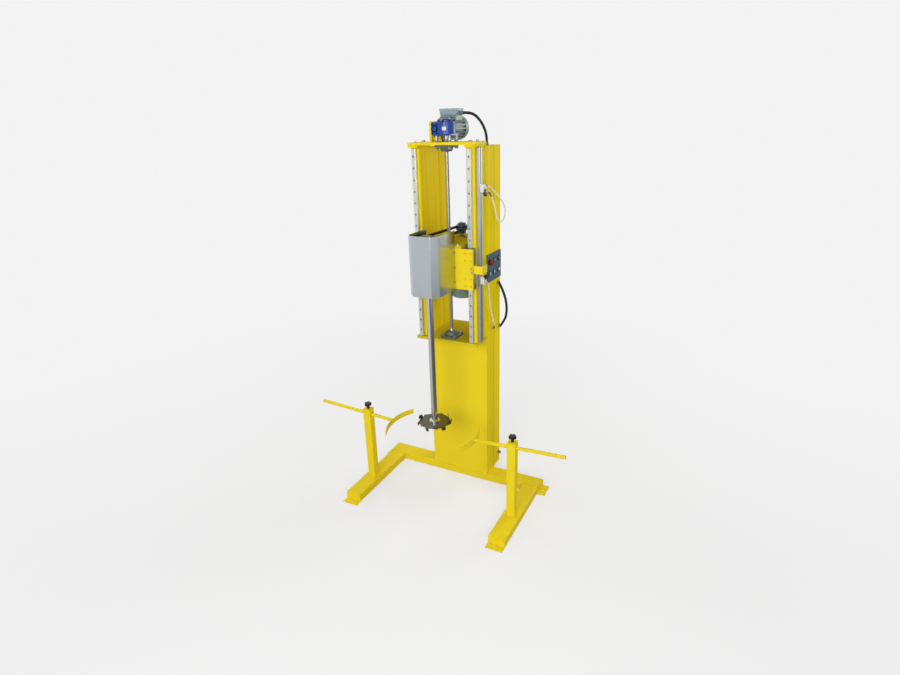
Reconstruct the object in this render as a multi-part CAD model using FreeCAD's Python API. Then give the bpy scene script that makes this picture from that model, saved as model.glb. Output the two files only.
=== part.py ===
import FreeCAD, Part
import math
import os

# A high-speed mixer for paint in drums: a U-shaped floor frame, a column with a belt-driven
# mixing spindle on a screw-lifted carriage, and two rods that clamp the drum.
# Millimetres. X runs to the operator's right, Y to the back, Z up. The origin lies on the
# floor, midway between the two front anchor holes.

Vector = FreeCAD.Vector
X_AXIS = Vector(1, 0, 0)
Y_AXIS = Vector(0, 1, 0)
Z_AXIS = Vector(0, 0, 1)

# Fits and clearances
FIT = 0.05
RUNNING_GAP = 0.3
SLIDE_GAP = 0.5

# Floor frame
BASE_WIDTH = 1046.0
LEG_REACH = 521.0
TUBE_WIDE = 100.0
TUBE_NARROW = 50.0
TUBE_WALL = 4.0
TUBE_CORNER = 6.0
ANCHOR_REACH = 46.0
ANCHOR_LENGTH = 98.0
ANCHOR_THICK = 6.0
ANCHOR_SETBACK = 24.0
ANCHOR_HOLE = 14.0

# Column
COLUMN_WIDTH = 380.0
COLUMN_TOP = 2035.0
FRONT_PLATE_THICK = 3.0
BACK_COVER_THICK = 2.0
BACK_COVER_INSET = 5.0
SHELF_TOP = 988.0
SHELF_THICK = 16.0
SHELF_OVERHANG = 3.5
PLATFORM_REACH = 140.0
TUBE_CAP_THICK = 4.0

# Bars that carry the rails
RAIL_BAR_WIDE = 50.0
RAIL_BAR_DEEP = 125.0
RAIL_BAR_CENTRE = 160.0
END_PLATE_THICK = 12.0
TOP_PLATE_THICK = 14.0
SCREW_PASSAGE = 50.0

# Linear rails and blocks
RAIL_WIDE = 23.0
RAIL_TALL = 22.0
RAIL_WAIST = 19.0
RAIL_END_GAP = 6.0
RAIL_HOLE = 11.0
RAIL_HOLE_DEEP = 9.0
RAIL_HOLE_PITCH = 60.0
BLOCK_WIDE = 60.0
BLOCK_LONG = 80.0
BLOCK_STACK = 36.0
BLOCK_FLOOR_GAP = 6.0
BLOCK_CAP_LONG = 10.0
BLOCK_CAP_STEP = 1.5
BLOCK_SPACING = 137.0

# Lift screw, its bearings and its nut
SCREW_DIAMETER = 20.0
SCREW_SETBACK = 68.6
SCREW_FOOT = 3.0
BEARING_SQUARE = 100.0
BEARING_FLANGE_THICK = 13.0
BEARING_HUB_TALL = 33.0
BEARING_HUB_DIAMETER = 72.0
BEARING_HUB_TOP_DIAMETER = 60.0
INSERT_DIAMETER = 46.0
BEARING_BOLT_GRID = 76.0
NUT_FLANGE_DIAMETER = 62.0
NUT_FLANGE_THICK = 12.0
NUT_BODY_DIAMETER = 36.0
NUT_LENGTH = 52.0

# Lift gear unit
GEARBOX_GAP = 31.0
GEARBOX_TALL = 68.0
GEARBOX_WHEEL_RADIUS = 48.0
GEARBOX_HUB_RADIUS = 26.0
GEARBOX_FLANGE = 96.0
GEARBOX_FLANGE_THICK = 8.0
GEARBOX_WALL_STEP = 4.0
GEAR_CENTRES = 40.0
WORM_CASE_HALF = 22.0
WORM_CASE_LONG = 98.0
WORM_RADIUS = 11.0
WORM_LONG = 46.0
WORM_JOURNAL_RADIUS = 8.0
WHEEL_RADIUS = 28.5
WHEEL_WIDE = 20.0
WHEEL_HUB_RADIUS = 18.0
WHEEL_HUB_TALL = 50.0
GEAR_CAVITY_GAP = 3.0
SIDE_BRACKET_THICK = 12.0
BRACKET_INSET = 3.0
WEB_SETBACK = 28.0
WEB_GAP = 4.0
STUD_DIAMETER = 12.0
STUD_NUT_ACROSS = 19.0
STUD_NUT_TALL = 8.0

# Lift motor
LIFT_MOTOR_RADIUS = 64.0
LIFT_MOTOR_LONG = 180.0
LIFT_FLANGE_RADIUS = 46.0
LIFT_FLANGE_THICK = 8.0
LIFT_SHIELD_FRONT = 8.0
LIFT_SHIELD_THICK = 6.0
LIFT_SHIELD_STEP = 3.0
LIFT_COWL_LONG = 38.0
LIFT_COWL_GRIP = 8.0
LIFT_COWL_EDGE = 12.0
LIFT_COWL_WALL = 2.0
LIFT_FIN_DEEP = 8.0
LIFT_FIN_COUNT = 20
LIFT_ROTOR_RADIUS = 34.0
LIFT_ROTOR_INSET = 20.0
LIFT_ROTOR_END_GAP = 4.0
LIFT_BOX_SETBACK = 75.0
LIFT_BOX_WIDE = 100.0
LIFT_BOX_DEEP = 85.0
LIFT_FOOT_WIDE = 92.0
LIFT_FOOT_DEEP = 78.0
LIFT_FOOT_DROP = 26.0
LIFT_BOX_TALL = 21.0
LIFT_BOX_TAPER = 0.3
LIFT_LID_THICK = 12.0
LIFT_LID_LIP = 2.0
LIFT_BOX_WALL = 3.0

# Carriage
CARRIAGE_BOTTOM = 1309.0
CARRIAGE_TALL = 220.0
CARRIAGE_WIDTH = 376.0
CARRIAGE_THICK = 14.0
PLATE_EDGE = 3.0
MOTOR_PLATE_WIDTH = 242.0
MOTOR_PLATE_THICK = 16.0
MOTOR_PLATE_BACK_MARGIN = 85.0
RIB_THICK = 10.0
RIB_INSET = 6.0
RIB_END_TALL = 45.0
RIB_LOWER_GAP = 22.0
MOTOR_SETBACK = 90.0

# Main motor
MOTOR_RADIUS = 69.0
MOTOR_LONG = 339.0
MOTOR_FLANGE_RADIUS = 75.0
MOTOR_FLANGE_THICK = 12.0
MOTOR_FIN_DEEP = 9.0
MOTOR_FIN_COUNT = 28
MOTOR_COWL_LONG = 72.0
MOTOR_COWL_GRIP = 10.0
COWL_WALL = 2.0
COWL_SLOT_COUNT = 6
COWL_SLOT_WIDE = 6.0
COWL_HUB_RADIUS = 14.0
MOTOR_BORE_RADIUS = 42.0
MOTOR_END_WALL = 4.0
MOTOR_ROTOR_GAP = 1.0
ROTOR_END_GAP = 14.0
MOTOR_SHAFT_DIAMETER = 24.0
MOTOR_BOX_WIDE = 88.0
MOTOR_BOX_DEEP = 34.0
MOTOR_BOX_TALL = 90.0
MOTOR_LID_THICK = 6.0
FAN_RADIUS = 54.0
FAN_THICK = 4.0
FAN_BLADE_TALL = 22.0
FAN_BLADE_COUNT = 8

# Belt drive
SPINDLE_PULLEY_RADIUS = 62.0
MOTOR_PULLEY_RADIUS = 33.0
PULLEY_WIDE = 26.0
PULLEY_HUB_RADIUS = 25.0
PULLEY_HUB_TALL = 44.0
SPINDLE_HUB_DROP = 22.0
PULLEY_WEB_THICK = 10.0
PULLEY_RIM_DEEP = 20.0
BELT_WIDE = 16.0
BELT_THICK = 10.0
BELT_INNER_WIDE = 10.0
BELT_PROUD = 1.0
BELT_LIFT = 49.0

# Spindle
SPINDLE_REACH = 312.8
SHAFT_DIAMETER = 35.0
SHAFT_COLLAR_DIAMETER = 44.0
SHAFT_TOP_DIAMETER = 28.0
SHAFT_THREAD_DIAMETER = 20.0
SHAFT_NUT_TALL = 11.0
SHAFT_FOOT_FLANGE = 60.0
SHAFT_FOOT_THICK = 8.0
HOUSING_RADIUS = 46.0
HOUSING_LIFT = 36.0
HOUSING_BACK_TALL = 190.0
HOUSING_BACK_THICK = 25.0
HOUSING_ARM_THICK = 12.0
HOUSING_ARM_INSET = 26.0
BEARING_OUTER_DIAMETER = 72.0
BEARING_WIDE = 17.0
BEARING_RING_THICK = 6.0
BEARING_SHIELD_INSET = 1.5
CAP_THICK = 7.0
CAP_GAP = 2.0
CAP_FLANGE_RADIUS = 45.0

# Mixing disc
SHAFT_REACH = 760.0
DISC_RADIUS = 89.0
DISC_THICK = 3.0
TOOTH_COUNT = 12
TOOTH_RADIUS = 92.0
TOOTH_LONG = 30.0
TOOTH_TALL = 20.0
TOOTH_THICK = 3.0
TOOTH_TOE = 24.0
DISC_WASHER_DIAMETER = 50.0
DISC_WASHER_THICK = 4.0
DISC_NUT_TALL = 14.0

# Belt guard
GUARD_SHEET = 3.0
GUARD_SIDE_GAP = 20.0
GUARD_FRONT_GAP = 8.2
GUARD_CHAMFER = 30.0
GUARD_DROP = 1.0
GUARD_HEADROOM = 18.0

# Limit switches
PROFILE_THICK = 15.0
PROFILE_DEEP = 40.0
PROFILE_SETBACK = 65.0
PROFILE_SLOT_WIDE = 8.0
PROFILE_SLOT_DEEP = 7.0
PROFILE_END_GAP = 2.0
SWITCH_THICK = 22.0
SWITCH_DEEP = 34.0
SWITCH_TALL = 42.0
TRAVEL_UP = 355.5
TRAVEL_DOWN = 11.5
ROLLER_DIAMETER = 20.0
ROLLER_WIDE = 11.0
ROLLER_PIN_DIAMETER = 5.0
LEVER_THICK = 4.0
LEVER_HUB_DIAMETER = 14.0
LEVER_SHIFT_DEEP = 22.0
LEVER_SHIFT_TALL = 17.0
DOG_REACH = 50.0
DOG_GRIP = 12.0
DOG_SHEET = 6.0
DOG_TALL = 43.0
DOG_LIFT = 88.0
DOG_SIDE_DEEP = 63.0

# Drum clamps
POST_WIDE = 50.0
POST_TOP = 520.0
POST_SETBACK = 302.0
POST_CAP_THICK = 4.0
POST_HOLE = 23.5
ROD_DIAMETER = 20.0
ROD_HEIGHT = 489.0
ROD_TILT = 2.8
LEFT_ROD_INNER = 294.0
LEFT_ROD_OUTER = 819.0
RIGHT_ROD_INNER = 248.0
RIGHT_ROD_OUTER = 770.0
PAD_RADIUS = 290.0
PAD_CHORD = 315.0
PAD_TALL = 30.0
PAD_THICK = 6.0
KNOB_RADIUS = 22.0
KNOB_TALL = 15.0
KNOB_LOBES = 5
KNOB_LOBE_RADIUS = 7.0
KNOB_NECK_DIAMETER = 16.0
KNOB_NECK_TALL = 20.0
KNOB_LIFT = 2.0
KNOB_STUD_DIAMETER = 12.0
POST_NUT_DIAMETER = 22.0
POST_NUT_TALL = 9.0

# Control box
PANEL_BOTTOM = 1303.0
PANEL_TALL = 159.0
PANEL_DEPTH = 8.0
PANEL_EDGE = 3.0
PANEL_WALL = 2.0
PANEL_FRONT_MARGIN = 1.0
PANEL_BACK_MARGIN = 7.0
BUTTON_DIAMETER = 22.0
BUTTON_PROUD = 6.0
BUTTON_DEEP = 4.0
BUTTON_ROW_GAP = 66.0
BUTTON_ROW_TOP = 41.0
BUTTON_COLUMN_GAP = 62.0
BUTTON_SHIFT = 9.0
BEZEL_DIAMETER = 29.0
BEZEL_TALL = 3.5
MUSHROOM_DIAMETER = 38.0
MUSHROOM_TALL = 12.0
MUSHROOM_LIFT = 8.0

# Cords and their glands
CONDUIT_DIAMETER = 15.0
SWITCH_CABLE_DIAMETER = 7.0

# Places worked out from the sizes above
BEAM_FRONT = LEG_REACH + ANCHOR_SETBACK
LEG_END = ANCHOR_SETBACK
LEG_CENTRE = BASE_WIDTH / 2 - TUBE_WIDE / 2
FRAME_TOP = TUBE_NARROW
SIDE_OUT = COLUMN_WIDTH / 2
SIDE_IN = SIDE_OUT - TUBE_NARROW
COLUMN_FRONT = BEAM_FRONT + FRONT_PLATE_THICK
COLUMN_BACK = COLUMN_FRONT + 2 * TUBE_WIDE
PLATFORM_FRONT = BEAM_FRONT - PLATFORM_REACH
PLATFORM_HALF = SIDE_OUT + SHELF_OVERHANG
RAIL_BAR_FRONT = COLUMN_FRONT - RAIL_BAR_DEEP
END_PLATE_TOP = COLUMN_TOP + END_PLATE_THICK
TOP_PLATE_TOP = END_PLATE_TOP + TOP_PLATE_THICK
RAIL_FRONT = RAIL_BAR_FRONT - RAIL_TALL
SCREW_Y = BEAM_FRONT - SCREW_SETBACK
GEARBOX_BOTTOM = TOP_PLATE_TOP + GEARBOX_GAP
GEAR_AXIS_Z = GEARBOX_BOTTOM + GEARBOX_TALL / 2
GEARBOX_TOP = GEARBOX_BOTTOM + GEARBOX_TALL
WORM_X = -GEAR_CENTRES
WORM_FRONT = SCREW_Y - WORM_CASE_LONG / 2
WORM_BACK = SCREW_Y + WORM_CASE_LONG / 2
LIFT_MOTOR_FRONT = WORM_BACK + LIFT_FLANGE_THICK
LIFT_MOTOR_BACK = LIFT_MOTOR_FRONT + LIFT_MOTOR_LONG
LIFT_BOX_Y = BEAM_FRONT + LIFT_BOX_SETBACK
LIFT_BOX_TOP = GEAR_AXIS_Z + LIFT_MOTOR_RADIUS + LIFT_BOX_TALL
LIFT_LID_TOP = LIFT_BOX_TOP + LIFT_LID_THICK
PLATE_BACK = RAIL_BAR_FRONT - BLOCK_STACK
PLATE_FRONT = PLATE_BACK - CARRIAGE_THICK
CARRIAGE_TOP = CARRIAGE_BOTTOM + CARRIAGE_TALL
BLOCK_MID = CARRIAGE_BOTTOM + CARRIAGE_TALL / 2
MOTOR_Y = BEAM_FRONT + MOTOR_SETBACK
MOTOR_PLATE_TOP = CARRIAGE_TOP + MOTOR_PLATE_THICK
MOTOR_PLATE_BACK = MOTOR_Y + MOTOR_PLATE_BACK_MARGIN
MOTOR_BOTTOM = CARRIAGE_TOP - MOTOR_LONG
COWL_TOP = MOTOR_BOTTOM + MOTOR_COWL_LONG
MOTOR_FIN_TOP = CARRIAGE_TOP - 2 * MOTOR_FLANGE_THICK
MOTOR_BOX_TOP = MOTOR_FIN_TOP - TUBE_CORNER
MOTOR_BORE_BOTTOM = COWL_TOP + COWL_WALL
MOTOR_BORE_TOP = MOTOR_FIN_TOP - MOTOR_END_WALL
MOTOR_SEAT_BACK = MOTOR_Y + MOTOR_RADIUS + 4
SPINDLE_Y = BEAM_FRONT - SPINDLE_REACH
BELT_HEIGHT = MOTOR_PLATE_TOP + BELT_LIFT
PULLEY_BOTTOM = BELT_HEIGHT - PULLEY_WIDE / 2
PULLEY_TOP = BELT_HEIGHT + PULLEY_WIDE / 2
SPINDLE_HUB_BOTTOM = PULLEY_BOTTOM - SPINDLE_HUB_DROP
HOUSING_BOTTOM = CARRIAGE_BOTTOM + HOUSING_LIFT
HOUSING_TOP = SPINDLE_HUB_BOTTOM - CAP_GAP - CAP_THICK
DISC_HEIGHT = CARRIAGE_BOTTOM - SHAFT_REACH
BELT_RADIUS = SPINDLE_PULLEY_RADIUS + BELT_PROUD
GUARD_IN = BELT_RADIUS + GUARD_SIDE_GAP
GUARD_OUT = GUARD_IN + GUARD_SHEET
GUARD_FRONT = SPINDLE_Y - BELT_RADIUS - GUARD_FRONT_GAP - GUARD_SHEET
GUARD_BOTTOM = CARRIAGE_BOTTOM - GUARD_DROP
GUARD_TOP = PULLEY_TOP + GUARD_HEADROOM
BAR_OUT = RAIL_BAR_CENTRE + RAIL_BAR_WIDE / 2
BAR_IN = RAIL_BAR_CENTRE - RAIL_BAR_WIDE / 2
PROFILE_OUT = BAR_OUT + PROFILE_THICK
PROFILE_BACK = BEAM_FRONT - PROFILE_SETBACK
SWITCH_FACE = PROFILE_OUT + SWITCH_THICK
DOG_BOTTOM = CARRIAGE_BOTTOM + DOG_LIFT
DOG_OUT = CARRIAGE_WIDTH / 2 + DOG_REACH
DOG_BACK = PLATE_BACK + DOG_SIDE_DEEP
ROLLER_X = DOG_OUT - DOG_SHEET / 2
ROLLER_Y = DOG_BACK - ROLLER_DIAMETER / 2
ROLLER_STOP = ROLLER_DIAMETER / 2 + SLIDE_GAP
UPPER_ROLLER_HEIGHT = DOG_BOTTOM + DOG_TALL + TRAVEL_UP + ROLLER_STOP
LOWER_ROLLER_HEIGHT = DOG_BOTTOM - TRAVEL_DOWN - ROLLER_STOP
LEVER_Y = ROLLER_Y + LEVER_SHIFT_DEEP
POST_Y = BEAM_FRONT - POST_SETBACK
PANEL_TOP = PANEL_BOTTOM + PANEL_TALL
PANEL_FRONT = COLUMN_FRONT + PANEL_FRONT_MARGIN
PANEL_BACK = COLUMN_BACK - PANEL_BACK_MARGIN
PANEL_FACE = SIDE_OUT + PANEL_DEPTH


# Small helpers

def block(x0, x1, y0, y1, z0, z1):
    """Straight box between two corners."""
    return Part.makeBox(x1 - x0, y1 - y0, z1 - z0, Vector(x0, y0, z0))


def cylinder(radius, start, end):
    """Round bar between two points."""
    run = end - start
    return Part.makeCylinder(radius, run.Length, start, run)


def upright(radius, x, y, z0, z1):
    """Round bar along Z."""
    return cylinder(radius, Vector(x, y, z0), Vector(x, y, z1))


def ring(outer, inner, x, y, z0, z1):
    """Round sleeve along Z."""
    return upright(outer, x, y, z0, z1).cut(upright(inner, x, y, z0 - 1, z1 + 1))


def prism(points, run):
    """Flat outline pushed along a direction."""
    corners = [Vector(*p) for p in points]
    face = Part.Face(Part.makePolygon(corners + corners[:1]))
    return face.extrude(run)


def turned(outline, x, y):
    """Outline of (radius, height) pairs turned about a vertical axis."""
    corners = [Vector(r, 0, z) for r, z in outline]
    face = Part.Face(Part.makePolygon(corners + corners[:1]))
    solid = face.revolve(Vector(0, 0, 0), Z_AXIS, 360)
    solid.translate(Vector(x, y, 0))
    return solid


def edges_along(shape, axis):
    """Straight edges that run along an axis."""
    found = []
    for edge in shape.Edges:
        run = edge.Vertexes[-1].Point - edge.Vertexes[0].Point
        if run.Length > 0 and abs(abs(run.dot(axis)) - run.Length) < 1e-6:
            found.append(edge)
    return found


def rounded(shape, radius, axis):
    """Box with its four long corners rounded."""
    return shape.makeFillet(radius, edges_along(shape, axis))


def box_tube(x0, x1, y0, y1, z0, z1, axis):
    """Rectangular steel tube with its length along an axis."""
    outer = rounded(block(x0, x1, y0, y1, z0, z1), TUBE_CORNER, axis)
    wall = Vector(TUBE_WALL, TUBE_WALL, TUBE_WALL) - axis * (TUBE_WALL + 1)
    inner = block(x0 + wall.x, x1 - wall.x, y0 + wall.y, y1 - wall.y, z0 + wall.z, z1 - wall.z)
    return outer.cut(inner)


def hexagon(across, x, y, z0, z1):
    """Nut or bolt head along Z, measured across its flats."""
    radius = across / 2 / math.cos(math.pi / 6)
    points = []
    for i in range(6):
        angle = math.radians(60 * i)
        points.append((x + radius * math.cos(angle), y + radius * math.sin(angle), z0))
    return prism(points, Vector(0, 0, z1 - z0))


def mirrored(shape):
    """Copy on the other side of the machine."""
    return shape.mirror(Vector(0, 0, 0), X_AXIS)


def grid(spacing, x=0.0, y=0.0):
    """Four corners of a square bolt pattern."""
    half = spacing / 2
    return [(x + i * half, y + j * half) for i in (-1, 1) for j in (-1, 1)]


def fused(shapes):
    """One solid from several that touch."""
    whole = shapes[0]
    for shape in shapes[1:]:
        whole = whole.fuse(shape)
    return whole.removeSplitter()


def save(name, shapes):
    """Write a node as its separate solids."""
    solids = [solid for shape in shapes for solid in shape.Solids]
    Part.makeCompound(solids).exportStep("parts/" + name + ".step")


# Floor frame

def cross_beam():
    """Rear beam of the floor frame, across the full width."""
    half = BASE_WIDTH / 2
    return box_tube(-half, half, BEAM_FRONT, BEAM_FRONT + TUBE_WIDE, 0, FRAME_TOP, X_AXIS)


def right_leg():
    """Leg that runs forward from the beam."""
    half = TUBE_WIDE / 2
    return box_tube(LEG_CENTRE - half, LEG_CENTRE + half, LEG_END, BEAM_FRONT, 0, FRAME_TOP, Y_AXIS)


def anchor_angle():
    """Angle that closes a tube's end and holds an anchor bolt, at the end of the right leg."""
    back = LEG_END
    outline = [
        (0, back, 0),
        (0, back - ANCHOR_REACH, 0),
        (0, back - ANCHOR_REACH, ANCHOR_THICK),
        (0, back - ANCHOR_THICK, ANCHOR_THICK),
        (0, back - ANCHOR_THICK, FRAME_TOP),
        (0, back, FRAME_TOP),
    ]
    angle = prism(outline, Vector(ANCHOR_LENGTH, 0, 0))
    angle.translate(Vector(LEG_CENTRE - ANCHOR_LENGTH / 2, 0, 0))
    hole = upright(ANCHOR_HOLE / 2, LEG_CENTRE, back - ANCHOR_SETBACK, -1, ANCHOR_THICK + 1)
    return angle.cut(hole)


def anchor_angles():
    """Two angles at the legs' ends and two at the beam's ends."""
    front = anchor_angle()
    rear = front.copy()
    rear.rotate(Vector(LEG_CENTRE, LEG_END, 0), Z_AXIS, 90)
    end = Vector(BASE_WIDTH / 2, BEAM_FRONT + TUBE_WIDE / 2, 0)
    rear.translate(end - Vector(LEG_CENTRE, LEG_END, 0))
    return [front, mirrored(front), rear, mirrored(rear)]


# Column

def right_column_tubes():
    """Two upright tubes, one behind the other, with a cap on each."""
    tubes = []
    for front in (COLUMN_FRONT, COLUMN_FRONT + TUBE_WIDE):
        back = front + TUBE_WIDE
        tube = box_tube(SIDE_IN, SIDE_OUT, front, back, FRAME_TOP, COLUMN_TOP, Z_AXIS)
        cap = block(
            SIDE_IN + TUBE_WALL, SIDE_OUT - TUBE_WALL, front + TUBE_WALL, back - TUBE_WALL,
            COLUMN_TOP - TUBE_CAP_THICK, COLUMN_TOP)
        tubes.append(fused([tube, cap]))
    return tubes


def column_plates():
    """Front plate and back cover that close the lower column."""
    top = SHELF_TOP - SHELF_THICK
    front = block(-SIDE_OUT, SIDE_OUT, BEAM_FRONT, COLUMN_FRONT, FRAME_TOP, top)
    half = SIDE_OUT - BACK_COVER_INSET
    back = block(
        -half, half, COLUMN_BACK, COLUMN_BACK + BACK_COVER_THICK,
        FRAME_TOP + BACK_COVER_INSET, top - BACK_COVER_INSET)
    return [front, back]


def shelf():
    """Plate on the lower column, with a tongue back between the tubes."""
    bottom = SHELF_TOP - SHELF_THICK
    front = block(-PLATFORM_HALF, PLATFORM_HALF, PLATFORM_FRONT, COLUMN_FRONT, bottom, SHELF_TOP)
    tongue = block(-SIDE_IN, SIDE_IN, COLUMN_FRONT, COLUMN_BACK, bottom, SHELF_TOP)
    return fused([front, tongue])


def right_rail_bar():
    """Tube that carries a rail, with its end plate on top."""
    tube = box_tube(BAR_IN, BAR_OUT, RAIL_BAR_FRONT, COLUMN_FRONT, SHELF_TOP, COLUMN_TOP, Z_AXIS)
    plate = block(BAR_IN, PLATFORM_HALF, PLATFORM_FRONT, COLUMN_FRONT, COLUMN_TOP, END_PLATE_TOP)
    return fused([tube, plate])


def top_plate():
    """Plate that ties the bars together and carries the lift gear."""
    plate = block(-PLATFORM_HALF, PLATFORM_HALF, PLATFORM_FRONT, COLUMN_FRONT, END_PLATE_TOP, TOP_PLATE_TOP)
    return plate.cut(upright(SCREW_PASSAGE / 2, 0, SCREW_Y, END_PLATE_TOP - 1, TOP_PLATE_TOP + 1))


def gearbox_standoffs():
    """Four studs with their lower nuts that hold the gearbox above the top plate."""
    studs = []
    for x, y in grid(BEARING_BOLT_GRID, 0, SCREW_Y):
        stud = upright(STUD_DIAMETER / 2, x, y, TOP_PLATE_TOP, GEARBOX_BOTTOM)
        nut = hexagon(STUD_NUT_ACROSS, x, y, TOP_PLATE_TOP, TOP_PLATE_TOP + STUD_NUT_TALL)
        studs.append(fused([stud, nut]))
    return studs


# Rails and blocks

def right_rail():
    """Guide rail with waisted flanks and its row of bolt pockets."""
    half = RAIL_WIDE / 2
    waist = RAIL_WAIST / 2
    third = RAIL_TALL / 3
    sides = [(half, 0), (half, third), (waist, third + 3), (waist, 2 * third - 2), (half, 2 * third + 1)]
    sides += [(half, RAIL_TALL - 1), (half - 1, RAIL_TALL)]
    right = [(RAIL_BAR_CENTRE + w, RAIL_BAR_FRONT - d, 0) for w, d in sides]
    left = [(RAIL_BAR_CENTRE - w, RAIL_BAR_FRONT - d, 0) for w, d in reversed(sides)]
    bottom = SHELF_TOP + RAIL_END_GAP
    length = COLUMN_TOP - RAIL_END_GAP - bottom
    rail = prism(right + left, Vector(0, 0, length))
    rail.translate(Vector(0, 0, bottom))
    count = int(length // RAIL_HOLE_PITCH)
    first = bottom + (length - (count - 1) * RAIL_HOLE_PITCH) / 2
    for i in range(count):
        mouth = Vector(RAIL_BAR_CENTRE, RAIL_FRONT - 1, first + i * RAIL_HOLE_PITCH)
        rail = rail.cut(cylinder(RAIL_HOLE / 2, mouth, mouth + Y_AXIS * (RAIL_HOLE_DEEP + 1)))
    return rail


def linear_rails():
    """Pair of guide rails."""
    rail = right_rail()
    return [rail, mirrored(rail)]


def block_heights():
    """Middles of the lower and upper blocks."""
    return [BLOCK_MID - BLOCK_SPACING / 2, BLOCK_MID + BLOCK_SPACING / 2]


def linear_block(middle):
    """Recirculating block that hugs the right rail."""
    channel = RAIL_WIDE / 2 + SLIDE_GAP
    back = RAIL_BAR_FRONT - BLOCK_FLOOR_GAP
    pieces = []
    for half_long, step in ((BLOCK_LONG / 2, BLOCK_CAP_STEP), (BLOCK_LONG / 2 - BLOCK_CAP_LONG, 0)):
        half = BLOCK_WIDE / 2 - step
        pieces.append(block(
            RAIL_BAR_CENTRE - half, RAIL_BAR_CENTRE + half, PLATE_BACK + step, back - step,
            middle - half_long, middle + half_long))
    body = fused(pieces)
    body = body.cut(block(
        RAIL_BAR_CENTRE - channel, RAIL_BAR_CENTRE + channel, RAIL_FRONT - SLIDE_GAP, back + 1,
        middle - BLOCK_LONG, middle + BLOCK_LONG))
    return body


def linear_blocks():
    """Four blocks behind the carriage plate."""
    right = [linear_block(z) for z in block_heights()]
    return right + [mirrored(b) for b in right]


# Lift screw, bearings and nut

def flange_bearing():
    """Square flange bearing on the shelf: its housing and its insert."""
    half = BEARING_SQUARE / 2
    base = SHELF_TOP
    flange = rounded(
        block(-half, half, SCREW_Y - half, SCREW_Y + half, base, base + BEARING_FLANGE_THICK),
        half / 4, Z_AXIS)
    top = base + BEARING_HUB_TALL
    hub = turned([
        (0, base + 1),
        (BEARING_HUB_DIAMETER / 2, base + BEARING_FLANGE_THICK),
        (BEARING_HUB_TOP_DIAMETER / 2, top - 3),
        (BEARING_HUB_TOP_DIAMETER / 2 - 3, top),
        (0, top),
    ], 0, SCREW_Y)
    housing = fused([flange, hub])
    housing = housing.cut(upright(INSERT_DIAMETER / 2, 0, SCREW_Y, base - 1, top + 1))
    insert = ring(
        INSERT_DIAMETER / 2 - FIT, SCREW_DIAMETER / 2 + FIT, 0, SCREW_Y, base + SCREW_FOOT, top)
    return [housing, insert]


def screw_bearings():
    """Bearing on the shelf and its twin, upside down, under the top plate."""
    lower = flange_bearing()
    upper = []
    for piece in lower:
        twin = piece.mirror(Vector(0, 0, (SHELF_TOP + END_PLATE_TOP) / 2), Z_AXIS)
        upper.append(twin)
    return lower + upper


def lift_screw():
    """Lift screw from the shelf's bearing up through the gearbox's hollow wheel."""
    radius = SCREW_DIAMETER / 2
    return turned([
        (0, SHELF_TOP + SCREW_FOOT),
        (radius - 1, SHELF_TOP + SCREW_FOOT),
        (radius, SHELF_TOP + SCREW_FOOT + 1),
        (radius, GEARBOX_TOP - 1),
        (radius - 1, GEARBOX_TOP),
        (0, GEARBOX_TOP),
    ], 0, SCREW_Y)


def lift_nut():
    """Flanged bronze nut that hangs under the motor plate."""
    top = CARRIAGE_TOP
    bore = SCREW_DIAMETER / 2 + RUNNING_GAP
    return turned([
        (bore, top),
        (NUT_FLANGE_DIAMETER / 2, top),
        (NUT_FLANGE_DIAMETER / 2, top - NUT_FLANGE_THICK),
        (NUT_BODY_DIAMETER / 2, top - NUT_FLANGE_THICK),
        (NUT_BODY_DIAMETER / 2, top - NUT_LENGTH + 2),
        (NUT_BODY_DIAMETER / 2 - 2, top - NUT_LENGTH),
        (bore, top - NUT_LENGTH),
    ], 0, SCREW_Y)


# Lift gear unit

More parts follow.
